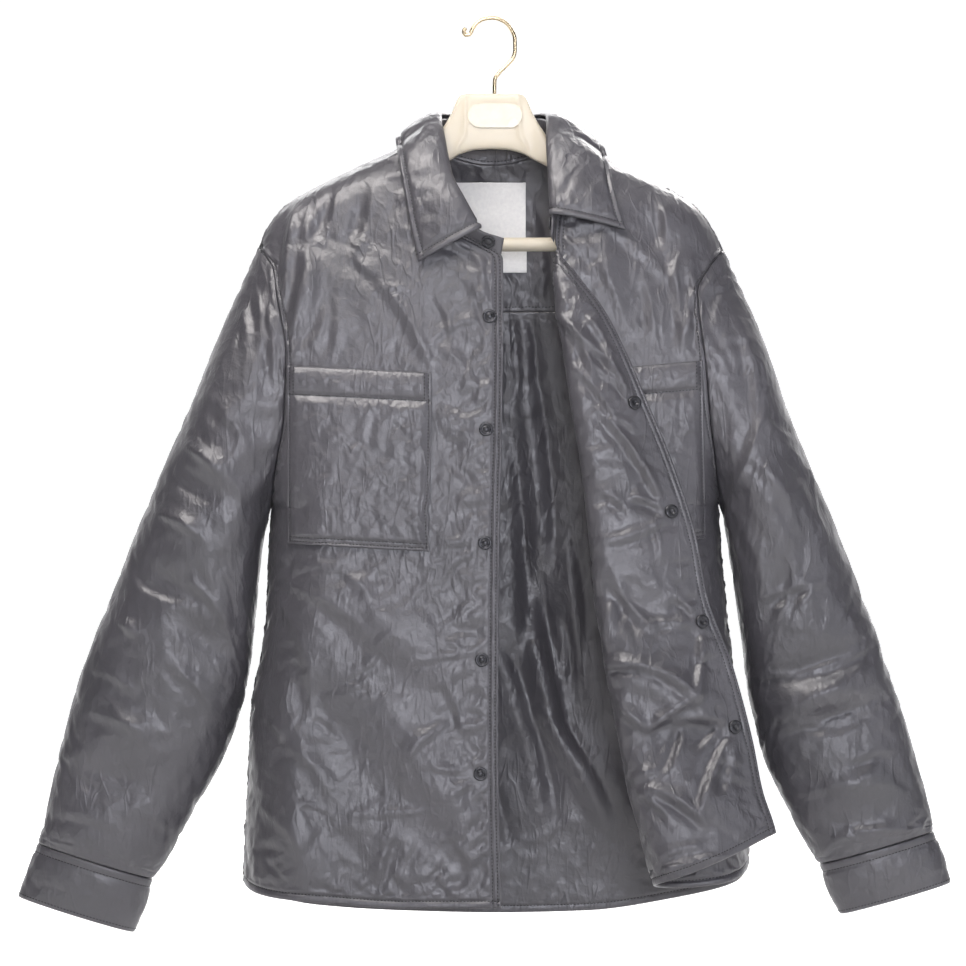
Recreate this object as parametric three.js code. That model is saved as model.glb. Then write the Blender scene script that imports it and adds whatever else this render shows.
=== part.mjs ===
// A padded nylon jacket hanging open on a moulded clothes hanger.
// Millimetres, +Z up, the front faces -Y, and the wearer's right side is at -X.
// The origin is the inner top of the hook, where a rail carries it.

import * as THREE from 'three';
import { mergeVertices } from 'three/addons/utils/BufferGeometryUtils.js';

// Driving sizes
const WALL = 3.5;              // padded cloth, both faces and the filling
const SEAM_GAP = 0.3;          // between sewn neighbours
const NECK_HALF_WIDTH = 68.5;  // middle of the neck to a neck point
const NECK_TOP = -119;         // height of the neck points
const BACK_NECK_DROP = 24;     // how far the neckline dips at the back
const ARMHOLE_FRONT = 52;      // how far the armhole reaches forward
const ARMHOLE_BACK = 48;       // and backward
const SIDE_ROUND = 62;         // width over which a side turns to the front
const YOKE_SEAM = -290;        // height of the yoke seam
const ARMHOLE_ROWS = 12;       // rows of the panels beside the armhole
const BODY_ROWS = 10;          // rows from underarm to hem
const UNDERARM_SHARE = 0.415;  // part of a panel's drop that the armhole takes
const NECK_CORNER_ROW = 5;     // the row that ends at the neck corner
const REST_GAP = 1.2;          // between cloth and what lies on or under it
const POCKET_GAP = 1.9;        // under the chest pockets
const SNAP_GAP = 0.7;          // under the snaps
const MERGE = 1e-4;            // points closer than this are one point

// Colours and finishes
const cloth = new THREE.MeshStandardMaterial({ color: 0x6c6b70, roughness: 0.42, metalness: 0.05 });
const ivory = new THREE.MeshStandardMaterial({ color: 0xefe6cf, roughness: 0.35, metalness: 0 });
const brass = new THREE.MeshStandardMaterial({ color: 0xb89a62, roughness: 0.28, metalness: 1 });
const snapMetal = new THREE.MeshStandardMaterial({ color: 0x55555a, roughness: 0.35, metalness: 0.8 });
const paper = new THREE.MeshStandardMaterial({ color: 0xf2f2f0, roughness: 0.8, metalness: 0 });

// Tables: the first line names the columns
function table(columns, rows) {
  const names = columns.split(' ');
  return rows.map((row) => Object.fromEntries(names.map((name, i) => [name, row[i]])));
}

// A smooth curve through a table's rows that never swings past them
function curveOf(rows, key, column) {
  const sorted = [...rows].sort((a, b) => a[key] - b[key]);
  const at = sorted.map((row) => row[key]);
  const value = sorted.map((row) => row[column]);
  const last = at.length - 1;
  const rise = at.slice(1).map((next, i) => (value[i + 1] - value[i]) / (next - at[i]));
  const slope = at.map((_, i) => {
    if (i === 0) return rise[0];
    if (i === last) return rise[last - 1];
    const product = rise[i - 1] * rise[i];
    return product > 0 ? (2 * product) / (rise[i - 1] + rise[i]) : 0;
  });
  return (wanted) => {
    if (wanted <= at[0]) return value[0] + slope[0] * (wanted - at[0]);
    if (wanted >= at[last]) return value[last] + slope[last] * (wanted - at[last]);
    const i = at.findIndex((place) => place > wanted) - 1;
    const width = at[i + 1] - at[i];
    const t = (wanted - at[i]) / width;
    const square = t * t;
    const cube = square * t;
    return value[i] * (2 * cube - 3 * square + 1) + value[i + 1] * (3 * square - 2 * cube)
      + width * (slope[i] * (cube - 2 * square + t) + slope[i + 1] * (cube - square));
  };
}

const lerp = THREE.MathUtils.lerp;
const clamp = THREE.MathUtils.clamp;
const vector = (x, y, z) => new THREE.Vector3(x, y, z);

// Depth of the cloth in front of and behind the shoulder line, by the drop below it
const DRAPE = table('drop front back', [
  [0, 0, 0],
  [3, 12, 11],
  [8, 20, 19],
  [18, 28, 26],
  [40, 36, 34],
  [80, 43, 41],
  [150, 53, 50],
  [250, 63, 58],
  [400, 75, 66],
  [600, 84, 74],
  [780, 88, 80],
]);
const frontDepth = curveOf(DRAPE, 'drop', 'front');
const backDepth = curveOf(DRAPE, 'drop', 'back');

// Height of the shoulder line, by the distance from the middle of the neck
const SHOULDER_RIGHT = table('out z', [
  [0, NECK_TOP], [NECK_HALF_WIDTH, NECK_TOP], [100, -131], [142, -150],
  [182, -170], [205, -184], [216, -195], [226, -210], [233, -227],
]);
const SHOULDER_LEFT = table('out z', [
  [0, NECK_TOP], [NECK_HALF_WIDTH, NECK_TOP], [100, -132], [137, -150],
  [178, -170], [201, -184], [212, -196], [223, -213], [231, -230],
]);

// The armhole and side seam: distance from the middle, by height
const SIDE_RIGHT = table('z out', [
  [-227, 233], [-250, 218], [-280, 213], [-335, 204], [-400, 206], [-440, 213], [-488, 220],
  [-521, 223], [-596, 226], [-640, 232], [-680, 240], [-780, 245], [-852, 249],
]);
const SIDE_LEFT = table('z out', [
  [-230, 231], [-248, 216], [-273, 204], [-300, 206], [-342, 211], [-400, 216], [-440, 221], [-483, 226],
  [-540, 230], [-603, 236], [-662, 243], [-700, 248], [-780, 254], [-840, 257],
]);

// The neckline and front edge of each front, by height
const EDGE_RIGHT = table('z x', [
  [NECK_TOP, -NECK_HALF_WIDTH], [-143, -66], [-172, -58], [-200, -44], [-220, -22], [-236, 11],
  [-320, 11], [-403, 10], [-486, 8], [-552, 7], [-705, 6], [-881, 9],
]);

// The turned-back front: where it folds, where its free edge lies, and how it stands off
const TURN_LEFT = table('z fold edge radius lift', [
  [NECK_TOP, 68.5, 68.5, 0, 0],
  [-172, 67, 67, 0, 0],
  [-226, 62, 62, 0, 0],
  [-262, 64, 86, 5, 4],
  [-290, 66, 108, 8, 7],
  [-334, 73, 131, 10, 9],
  [-383, 80, 152, 11, 10],
  [-444, 90, 177, 12, 10],
  [-516, 98, 200, 13, 10],
  [-575, 104, 211, 14, 10],
  [-641, 114, 235, 16, 11],
  [-717, 128, 255, 19, 14],
  [-764, 137, 264, 22, 18],
  [-806, 148, 277, 26, 22],
  [-870, 164, 286, 30, 26],
]);

// Hem heights, by the share of the panel's width from its side seam
const HEM_FRONT_RIGHT = table('u z', [
  [0, -852], [0.05, -860], [0.2, -869], [0.45, -876], [0.7, -881], [1, -881],
]);
const HEM_FRONT_LEFT = table('u z', [[0, -840], [0.2, -852], [0.42, -861], [0.55, -856], [1, -806]]);
const HEM_BACK = table('u z', [
  [0, -852], [0.07, -872], [0.2, -891], [0.35, -897], [0.5, -899],
  [0.65, -897], [0.8, -884], [0.93, -864], [1, -840],
]);

// Large folds of each panel: a soft ridge, or a trough where the height is below zero
const FOLDS_FRONT_RIGHT = table('x1 z1 x2 z2 width height', [
  [-182, -245, -188, -300, 11, 8],
  [-154, -178, -172, -225, 12, -6],
  [-118, -170, -138, -240, 14, -5],
  [-150, -560, -60, -640, 22, 5],
  [-200, -640, -120, -760, 24, -6],
  [-90, -690, -30, -800, 22, 5],
  [-210, -760, -180, -850, 20, 6],
]);
const FOLDS_FRONT_LEFT = table('x1 z1 x2 z2 width height', [
  [150, -190, 172, -240, 13, -6],
  [110, -210, 120, -280, 14, 5],
  [190, -240, 188, -310, 12, 7],
  [110, -575, 170, -595, 16, -5],
  [140, -640, 230, -690, 18, 7],
  [150, -720, 240, -700, 18, -6],
  [190, -760, 250, -790, 18, 6],
]);
const FOLDS_BACK = table('x1 z1 x2 z2 width height', [
  [47, -620, 60, -690, 16, -7],
  [60, -690, 130, -800, 18, -8],
  [20, -500, 95, -720, 20, 6],
  [-40, -420, 20, -700, 24, -6],
  [-120, -380, -90, -760, 26, 7],
  [-180, -520, -150, -840, 22, -6],
  [150, -400, 120, -640, 24, 6],
  [190, -480, 200, -800, 22, -7],
]);
const FOLD_ENDS = 0.45;        // height of a fold's ends, as a share of its middle's
function foldShift(folds, x, z) {
  let shift = 0;
  for (const fold of folds) {
    const alongX = fold.x2 - fold.x1;
    const alongZ = fold.z2 - fold.z1;
    const square = alongX * alongX + alongZ * alongZ;
    const share = clamp(((x - fold.x1) * alongX + (z - fold.z1) * alongZ) / square, 0, 1);
    const offX = x - fold.x1 - share * alongX;
    const offZ = z - fold.z1 - share * alongZ;
    const off = (offX * offX + offZ * offZ) / (fold.width * fold.width);
    shift += fold.height * Math.exp(-off) * lerp(FOLD_ENDS, 1, Math.sin(Math.PI * share));
  }
  return shift;
}

const fade = (distance, width) => THREE.MathUtils.smoothstep(distance, 0, width);

// Folds die away towards the side seams and the shoulder line
const CALM_SIDE = 50;
const CALM_TOP = 70;
function foldAt(folds, point) {
  const side = point.x < 0 ? right : left;
  const out = Math.abs(point.x);
  const fromSide = side.seam(Math.min(point.z, side.top)) - out;
  const fromTop = side.shoulder(out) - point.z;
  return fade(fromSide, CALM_SIDE) * fade(fromTop, CALM_TOP) * foldShift(folds, point.x, point.z);
}

// Grids of points become closed sheets: an outer face, and an inner face one wall behind it
function gridNormals(grid, aroundU) {
  const rows = grid.length;
  const columns = grid[0].length;
  return grid.map((row, v) => row.map((_, u) => {
    const before = aroundU ? row[(u + columns - 1) % columns] : row[Math.max(u - 1, 0)];
    const after = aroundU ? row[(u + 1) % columns] : row[Math.min(u + 1, columns - 1)];
    const above = grid[Math.max(v - 1, 0)][u];
    const below = grid[Math.min(v + 1, rows - 1)][u];
    const across = after.clone().sub(before);
    const down = below.clone().sub(above);
    return down.cross(across).normalize();
  }));
}

function sheetGeometry(outer, inner, aroundU) {
  const positions = [];
  const push = (a, b, c) => positions.push(...a.toArray(), ...b.toArray(), ...c.toArray());
  const quad = (a, b, c, d) => {
    push(a, b, c);
    push(a, c, d);
  };
  const rows = outer.length;
  const columns = outer[0].length;
  const spans = aroundU ? columns : columns - 1;
  for (let v = 0; v < rows - 1; v += 1) {
    for (let u = 0; u < spans; u += 1) {
      const next = (u + 1) % columns;
      quad(outer[v][u], outer[v + 1][u], outer[v + 1][next], outer[v][next]);
      quad(inner[v][u], inner[v][next], inner[v + 1][next], inner[v + 1][u]);
    }
    if (!aroundU) {
      quad(outer[v][0], inner[v][0], inner[v + 1][0], outer[v + 1][0]);
      quad(outer[v][spans], outer[v + 1][spans], inner[v + 1][spans], inner[v][spans]);
    }
  }
  for (let u = 0; u < spans; u += 1) {
    const next = (u + 1) % columns;
    quad(outer[0][u], outer[0][next], inner[0][next], inner[0][u]);
    quad(outer[rows - 1][u], inner[rows - 1][u], inner[rows - 1][next], outer[rows - 1][next]);
  }
  const geometry = new THREE.BufferGeometry();
  geometry.setAttribute('position', new THREE.Float32BufferAttribute(positions, 3));
  const merged = mergeVertices(geometry, MERGE);
  merged.computeVertexNormals();
  return merged;
}

function sheet(grid, { wall = () => WALL, around = false, normalAt = null, facing = 1 } = {}) {
  const natural = gridNormals(grid, around);
  const normals = natural.map((row, v) => row.map((normal, u) => {
    const outward = normal.multiplyScalar(facing);
    return (normalAt && normalAt(v, u, outward)) || outward;
  }));
  const inner = grid.map((row, v) => row.map((point, u) => (
    point.clone().addScaledVector(normals[v][u], -wall(v))
  )));
  const flipped = (rows) => rows.map((row) => [...row].reverse());
  if (facing < 0) return sheetGeometry(flipped(grid), flipped(inner), around);
  return sheetGeometry(grid, inner, around);
}

// Points at even shares of a line's length
function evenPoints(line, count) {
  const length = [0];
  for (let i = 1; i < line.length; i += 1) length.push(length[i - 1] + line[i].distanceTo(line[i - 1]));
  const total = length[length.length - 1];
  const points = [];
  for (let k = 0; k < count; k += 1) {
    const wanted = (total * k) / (count - 1);
    let i = 1;
    while (i < line.length - 1 && length[i] < wanted) i += 1;
    const share = (wanted - length[i - 1]) / (length[i] - length[i - 1] || 1);
    points.push(line[i - 1].clone().lerp(line[i], clamp(share, 0, 1)));
  }
  return points;
}

// The two sides of the garment, each with its own armhole, seam and shoulder
function makeSide(sign, shoulder, seam, hem) {
  const side = {
    sign,
    shoulder: curveOf(shoulder, 'out', 'z'),
    seam: curveOf(seam, 'z', 'out'),
    top: shoulder[shoulder.length - 1].z,
    hem: hem[0].z,
  };
  side.underarm = lerp(side.top, side.hem, UNDERARM_SHARE);
  return side;
}
const right = makeSide(-1, SHOULDER_RIGHT, SIDE_RIGHT, HEM_FRONT_RIGHT);
const left = makeSide(1, SHOULDER_LEFT, SIDE_LEFT, HEM_FRONT_LEFT);

// Share of a panel's drop at each row: close together at the top and at the underarm
const rowShares = [];
for (let row = 0; row <= ARMHOLE_ROWS; row += 1) {
  rowShares.push((UNDERARM_SHARE * (1 - Math.cos((Math.PI * row) / ARMHOLE_ROWS))) / 2);
}
for (let row = 1; row <= BODY_ROWS; row += 1) {
  rowShares.push(lerp(UNDERARM_SHARE, 1, row / BODY_ROWS));
}

function armholeReach(side, z, reach) {
  if (z >= side.top || z <= side.underarm) return 0;
  const share = (side.top - z) / (side.top - side.underarm);
  return reach * Math.sin(Math.acos(1 - 2 * share));
}

// The direction out of the cloth along the armhole seam, shared by body and sleeve
const ARMHOLE_OUT = 0.9;
const ARMHOLE_UP = 0.6;
function armholeNormal(side, angle, forward) {
  const up = Math.cos(angle);
  const out = side.sign * ARMHOLE_OUT * Math.max(0, up) ** 2;
  return vector(out, -forward * Math.sin(angle), ARMHOLE_UP * up).normalize();
}

function shoulderNormal(side, out) {
  const step = 1;
  const fall = (side.shoulder(out - step) - side.shoulder(out + step)) / (2 * step);
  return vector(side.sign * fall, 0, 1).normalize();
}

// One level of a front, from its side seam to its edge
const edgeRight = curveOf(EDGE_RIGHT, 'z', 'x');
const foldLeft = curveOf(TURN_LEFT, 'z', 'fold');
const edgeLeft = curveOf(TURN_LEFT, 'z', 'edge');
const radiusLeft = curveOf(TURN_LEFT, 'z', 'radius');
const liftLeft = curveOf(TURN_LEFT, 'z', 'lift');
const CORNER_STEPS = 10;
const FACE_STEPS = 40;
const FLAP_STEPS = 12;
const FLAP_BULGE = 0.35;        // of the fold's radius

// The outer face between the side and a given place, as a line of points
function faceLine(side, z, endX, forward) {
  const depthAt = forward > 0 ? frontDepth : backDepth;
  const reach = armholeReach(side, z, forward > 0 ? ARMHOLE_FRONT : ARMHOLE_BACK);
  const startX = side.sign * side.seam(Math.min(z, side.top));
  const startY = reach + SEAM_GAP / 2;
  const inward = Math.sign(endX - startX);
  const corner = Math.min(SIDE_ROUND, Math.abs(endX - startX) / 2);
  const pointAt = (x, rise) => {
    const depth = depthAt(Math.max(0, side.shoulder(Math.abs(x)) - z));
    return vector(x, -forward * lerp(startY, Math.max(depth, SEAM_GAP / 2), rise), z);
  };
  const line = [];
  for (let i = 0; i <= CORNER_STEPS; i += 1) {
    const turn = (Math.PI / 2) * (i / CORNER_STEPS);
    line.push(pointAt(startX + inward * corner * (1 - Math.cos(turn)), Math.sin(turn)));
  }
  for (let i = 1; i <= FACE_STEPS; i += 1) {
    line.push(pointAt(lerp(startX + inward * corner, endX, i / FACE_STEPS), 1));
  }
  return line;
}

const frontRightLine = (z) => faceLine(right, z, edgeRight(z), 1);

// The left front runs to its fold, turns forward round it and comes back to its free edge
function frontLeftLine(z) {
  const fold = foldLeft(z);
  const flap = Math.max(0, edgeLeft(z) - fold);
  const radius = Math.min(radiusLeft(z), flap / 3);
  const line = faceLine(left, z, fold + radius, 1);
  if (flap < 1) return line;
  const seat = line[line.length - 1].y;
  for (let i = 1; i <= CORNER_STEPS; i += 1) {
    const turn = Math.PI * (i / CORNER_STEPS);
    line.push(vector(fold + radius * (1 - Math.sin(turn)), seat - radius * (1 - Math.cos(turn)), z));
  }
  const start = line[line.length - 1];
  const under = frontDepth(Math.max(0, left.shoulder(edgeLeft(z)) - z));
  const end = vector(edgeLeft(z), Math.min(-under, seat) - liftLeft(z), z);
  for (let i = 1; i <= FLAP_STEPS; i += 1) {
    const share = i / FLAP_STEPS;
    const point = start.clone().lerp(end, share);
    point.y -= FLAP_BULGE * radius * Math.sin(Math.PI * share);
    line.push(point);
  }
  return line;
}

// The back runs from one side seam to the other
function backLine(z) {
  const rightHalf = faceLine(right, z, 0, -1);
  const leftHalf = faceLine(left, z, 0, -1).reverse();
  return rightHalf.concat(leftHalf.slice(1));
}

// A panel's grid: each column runs from the shoulder line or neck down to the hem
const TOP_PASSES = 6;
const NECK_MARGIN = 0.1;
function panelGrid({ line, columns, top, bottom, shares, folds, forward, flatTop }) {
  const atShare = (z, u) => evenPoints(line(z), columns)[u];
  const grid = shares.map(() => []);
  for (let u = 0; u < columns; u += 1) {
    const across = u / (columns - 1);
    let topZ = top(0, across);
    for (let pass = 0; pass < TOP_PASSES; pass += 1) topZ = top(atShare(topZ, u).x, across);
    shares.forEach((share, v) => {
      const point = atShare(lerp(topZ, bottom(across), share(across)), u);
      const onShoulder = v === 0 && flatTop && Math.abs(point.x) > NECK_HALF_WIDTH - NECK_MARGIN;
      if (onShoulder) point.y = (-forward * SEAM_GAP) / 2;
      else point.y -= forward * foldAt(folds, point);
      grid[v].push(point);
    });
  }
  return grid;
}

const constantShares = rowShares.map((share) => () => share);

// Fronts
const COLUMNS_RIGHT = 19;
const COLUMNS_LEFT = 25;
const hemFrontRight = curveOf(HEM_FRONT_RIGHT, 'u', 'z');
const hemFrontLeft = curveOf(HEM_FRONT_LEFT, 'u', 'z');
const hemBack = curveOf(HEM_BACK, 'u', 'z');

const frontRightGrid = panelGrid({
  line: frontRightLine,
  columns: COLUMNS_RIGHT,
  top: (x) => right.shoulder(Math.abs(x)),
  bottom: hemFrontRight,
  shares: constantShares,
  folds: FOLDS_FRONT_RIGHT,
  forward: 1,
  flatTop: true,
});
const frontLeftGrid = panelGrid({
  line: frontLeftLine,
  columns: COLUMNS_LEFT,
  top: (x, across) => (across === 1 ? NECK_TOP : left.shoulder(Math.abs(x))),
  bottom: hemFrontLeft,
  shares: constantShares,
  folds: FOLDS_FRONT_LEFT,
  forward: 1,
  flatTop: true,
});

function frontPiece(side, grid) {
  const normalAt = (v, u) => {
    if (u === 0 && v <= ARMHOLE_ROWS) return armholeNormal(side, (Math.PI * v) / ARMHOLE_ROWS, 1);
    if (u === 0) return vector(side.sign, 0, 0);
    if (v === 0) return shoulderNormal(side, Math.abs(grid[v][u].x));
    return null;
  };
  return sheet(grid, { facing: -side.sign, normalAt });
}

// Yoke and back
const COLUMNS_BACK = 25;
const YOKE_ROWS = 4;
const YOKE_TURN = 0.1;         // share of the width over which the yoke seam turns at a side
const YOKE_CROWD = 0.3;        // how much closer the rows lie at the shoulder line
const YOKE_CROWD_WIDTH = 1 / 6;
function backTop(x) {
  const out = Math.abs(x);
  if (out < NECK_HALF_WIDTH) return NECK_TOP - BACK_NECK_DROP * (1 - (out / NECK_HALF_WIDTH) ** 2);
  return (x < 0 ? right : left).shoulder(out);
}
function yokeSeam(across) {
  const atSide = lerp(
    lerp(right.top, right.hem, rowShares[YOKE_ROWS]),
    lerp(left.top, left.hem, rowShares[YOKE_ROWS]),
    across,
  );
  return lerp(atSide, YOKE_SEAM, fade(Math.min(across, 1 - across), YOKE_TURN));
}
const yokeShares = rowShares.slice(0, YOKE_ROWS + 1).map((share) => (across) => {
  const even = share / rowShares[YOKE_ROWS];
  return even ** (1 + YOKE_CROWD * Math.min(1, Math.min(across, 1 - across) / YOKE_CROWD_WIDTH));
});
const backShares = rowShares.slice(YOKE_ROWS).map((share) => () => (
  (share - rowShares[YOKE_ROWS]) / (1 - rowShares[YOKE_ROWS])
));
const yokeGrid = panelGrid({
  line: backLine,
  columns: COLUMNS_BACK,
  top: (x) => backTop(x),
  bottom: yokeSeam,
  shares: yokeShares,
  folds: FOLDS_BACK,
  forward: -1,
  flatTop: true,
});
const backGrid = panelGrid({
  line: backLine,
  columns: COLUMNS_BACK,
  top: (x, across) => yokeSeam(across),
  bottom: hemBack,
  shares: backShares,
  folds: FOLDS_BACK,
  forward: -1,
  flatTop: false,
});
for (const point of backGrid[0]) point.z -= SEAM_GAP;

function backNormal(grid, firstRow) {
  return (v, u, natural) => {
    const atSide = u === 0 ? right : left;
    if (u === 0 || u === COLUMNS_BACK - 1) {
      const row = v + firstRow;
      if (row <= ARMHOLE_ROWS) return armholeNormal(atSide, (Math.PI * row) / ARMHOLE_ROWS, -1);
      return vector(atSide.sign, 0, 0);
    }
    const out = Math.abs(grid[v][u].x);
    if (v === 0 && firstRow === 0 && out > NECK_HALF_WIDTH) {
      return shoulderNormal(grid[v][u].x < 0 ? right : left, out);
    }
    return natural;
  };
}

// Sleeves: rings between an outer and an inner point, each with its depth
const SLEEVE_RIGHT = table('outerX outerZ innerX innerZ depth', [
  [-233, -227, -220, -488, 50],
  [-253, -270, -226, -503, 55],
  [-279, -330, -231, -527, 60],
  [-303, -390, -234, -560, 61],
  [-329, -450, -237, -596, 59],
  [-354, -510, -241, -634, 56],
  [-377, -570, -247, -670, 53],
  [-402, -630, -256, -702, 50],
  [-421, -690, -272, -742, 46],
  [-436, -750, -299, -790, 42],
  [-449, -806, -325, -838, 37],
  [-454, -822, -339, -858, 32],
]);
const SLEEVE_LEFT = table('outerX outerZ innerX innerZ depth', [
  [231, -230, 226, -483, 50],
  [250, -270, 232, -499, 55],
  [275, -330, 237, -524, 60],
  [295, -390, 241, -556, 61],
  [320, -450, 246, -592, 59],
  [344, -510, 251, -630, 56],
  [367, -570, 256, -668, 53],
  [389, -630, 263, -703, 50],
  [409, -690, 275, -743, 46],
  [427, -750, 296, -788, 42],
  [438, -792, 317, -828, 37],
  [441, -810, 327, -843, 32],
]);
const CUFF_RIGHT = table('outerX outerZ innerX innerZ depth', [
  [-454.2, -822.7, -339.2, -858.7, 32],
  [-465, -850, -346, -885, 30],
  [-474, -876, -358, -912, 26],
]);
const CUFF_LEFT = table('outerX outerZ innerX innerZ depth', [
  [441.2, -810.7, 327.2, -843.7, 32],
  [452, -836, 335, -869, 30],
  [459, -862, 348, -894, 26],
]);
const FOLDS_SLEEVE_RIGHT = table('x1 z1 x2 z2 width height', [
  [-305, -425, -268, -455, 13, 7],
  [-312, -452, -276, -475, 11, -5],
  [-330, -494, -292, -514, 13, 7],
  [-345, -556, -302, -572, 12, -6],
  [-370, -600, -356, -616, 14, 6],
  [-300, -600, -262, -640, 18, -6],
  [-390, -690, -330, -720, 16, 6],
  [-410, -752, -350, -760, 14, -6],
]);
const FOLDS_SLEEVE_LEFT = table('x1 z1 x2 z2 width height', [
  [248, -330, 262, -400, 14, -7],
  [262, -440, 300, -500, 16, 7],
  [300, -540, 280, -600, 16, -6],
  [250, -665, 380, -624, 13, -8],
  [270, -690, 385, -655, 14, 8],
  [290, -710, 385, -682, 12, -8],
  [330, -770, 400, -750, 14, 7],
  [335, -822, 420, -808, 10, 6],
]);

const RING_POINTS = 2 * ARMHOLE_ROWS;
const RING_SQUARE = 0.85;
function ringPoint(row, angle) {
  const share = (1 + Math.cos(angle)) / 2;
  const across = Math.sin(angle);
  return vector(
    lerp(row.innerX, row.outerX, share),
    -row.depth * Math.sign(across) * Math.abs(across) ** RING_SQUARE,
    lerp(row.innerZ, row.outerZ, share),
  );
}

function tubeRows(rows, count) {
  const keyed = rows.map((row, i) => ({ ...row, key: i / (rows.length - 1) }));
  const columns = Object.keys(rows[0]);
  const curves = columns.map((column) => curveOf(keyed, 'key', column));
  const made = [];
  for (let ring = 0; ring < count; ring += 1) {
    const key = ring / (count - 1);
    made.push(Object.fromEntries(columns.map((column, i) => [column, curves[i](key)])));
  }
  return made;
}

// The armhole's points, down the front and up the back, half a gap out from the body
function armholeRing(side) {
  const ring = [];
  for (let i = 0; i < RING_POINTS; i += 1) {
    const angle = (2 * Math.PI * i) / RING_POINTS;
    const forward = i <= ARMHOLE_ROWS ? 1 : -1;
    const share = (1 - Math.cos(angle)) / 2;
    const z = lerp(side.top, side.underarm, share);
    const reach = (forward > 0 ? ARMHOLE_FRONT : ARMHOLE_BACK) * Math.abs(Math.sin(angle));
    ring.push(vector(side.sign * side.seam(z), -forward * reach, z));
  }
  return ring;
}

const SLEEVE_RINGS = 18;
const BLEND_RINGS = 3;
const CALM_RINGS = 2;
const SLEEVE_AWAY = 1.6 * SEAM_GAP;
const SLEEVE_AWAY_FALL = -0.4;
function sleeveGrid(side, rows, folds) {
  const rings = tubeRows(rows, SLEEVE_RINGS);
  const armhole = armholeRing(side);
  const away = vector(side.sign, 0, SLEEVE_AWAY_FALL).normalize().multiplyScalar(SLEEVE_AWAY);
  return rings.map((row, k) => {
    const hold = 1 - fade(k, BLEND_RINGS);
    const ring = [];
    for (let i = 0; i < RING_POINTS; i += 1) {
      const angle = (2 * Math.PI * i) / RING_POINTS;
      const point = ringPoint(row, angle);
      const miss = armhole[i].clone().sub(ringPoint(rings[0], angle)).add(away);
      point.addScaledVector(miss, hold);
      const facing = -Math.sin(angle);
      const calm = fade(k, CALM_RINGS) * fade(SLEEVE_RINGS - 1 - k, CALM_RINGS);
      point.y += calm * facing * Math.abs(facing) * foldShift(folds, point.x, point.z);
      ring.push(point);
    }
    return ring;
  });
}

function sleevePiece(side, grid) {
  return sheet(grid, {
    around: true,
    facing: side.sign < 0 ? 1 : -1,
    normalAt: (v, u) => {
      if (v > 0) return null;
      const angle = (2 * Math.PI * u) / RING_POINTS;
      const forward = u <= ARMHOLE_ROWS ? 1 : -1;
      return armholeNormal(side, forward > 0 ? angle : 2 * Math.PI - angle, forward);
    },
  });
}

const CUFF_RINGS = 4;
function cuffGrid(rows) {
  return tubeRows(rows, CUFF_RINGS).map((row) => {
    const ring = [];
    for (let i = 0; i < RING_POINTS; i += 1) ring.push(ringPoint(row, (2 * Math.PI * i) / RING_POINTS));
    return ring;
  });
}

// The collar: where it rolls, and where its outer edge lies on the garment
const COLLAR = table('rollX rollY rollZ edgeX edgeZ forward', [
  [-14, -56, -213, -73, -244, 1],
  [-30, -53, -184, -80, -216, 1],
  [-43, -41, -158, -86, -183, 1],
  [-50, -23, -122, -92, -150, 1],
  [-52.5, -11, -108, -95.5, -128.5, 1],
  [-53, 2, -100, -97, -120, 0],
  [-51, 14, -97.5, -95, -129, -1],
  [-46, 25, -97, -88, -142, -1],
  [-28, 33, -97, -50, -156, -1],
  [0, 35, -97, 0, -160, -1],
  [30, 33, -97, 52, -156, -1],
  [48, 25, -97, 94, -142, -1],
  [53, 14, -98, 108, -134, -1],
  [56, 2, -100, 112, -128, 0],
  [57, -11, -109, 115, -136, 1],
  [57, -23, -124, 118, -152, 1],
  [59, -40, -160, 124, -180, 1],
  [61, -52, -199, 133, -212, 1],
]);
const STAND_END_RIGHT = vector(12, -52, -221);
const STAND_END_LEFT = vector(60, -55, -218);
const STAND_WALL = 3;
const STAND_COLUMNS = 34;
const STAND_ROWS = 3;
const STAND_SEAM = 0.7;
const STAND_CORNER = 2;

function standGrid() {
  const neckRight = frontRightGrid.slice(0, NECK_CORNER_ROW + 1).map((row) => row[COLUMNS_RIGHT - 1]).reverse();
  const neckBack = yokeGrid[0].filter((point) => Math.abs(point.x) < NECK_HALF_WIDTH - STAND_CORNER);
  const neckLeft = frontLeftGrid.slice(0, NECK_CORNER_ROW + 1).map((row) => row[COLUMNS_LEFT - 1]);
  const foot = evenPoints([...neckRight, ...neckBack, ...neckLeft], STAND_COLUMNS);
  const roll = COLLAR.map((row) => vector(row.rollX, row.rollY, row.rollZ));
  const rollCurve = new THREE.CatmullRomCurve3([STAND_END_RIGHT, ...roll, STAND_END_LEFT], false, 'centripetal');
  const top = rollCurve.getSpacedPoints(STAND_COLUMNS - 1);
  const grid = [];
  for (let v = 0; v < STAND_ROWS; v += 1) {
    grid.push(top.map((high, u) => {
      const rise = high.clone().sub(foot[u]);
      const low = foot[u].clone().addScaledVector(rise, STAND_SEAM / rise.length());
      return high.clone().lerp(low, v / (STAND_ROWS - 1));
    }));
  }
  return grid;
}

const LEAF_COLUMNS = 30;
const LEAF_ROWS = 6;
const LEAF_WALL = 3;
const LEAF_SPRING = 13;
const LEAF_REST = 6.5;
const LEAF_ROOT_GAP = 1.6;
const LEAF_LEAN = 0.35;        // how far the leaf leans out where it leaves the roll
const LEAF_START_LIFT = 2;
const LEAF_BEND = 0.35;        // where the leaf's bend ends, as a share of its fall from its edge
const LEAF_BEND_SPRING = 0.7;

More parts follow.
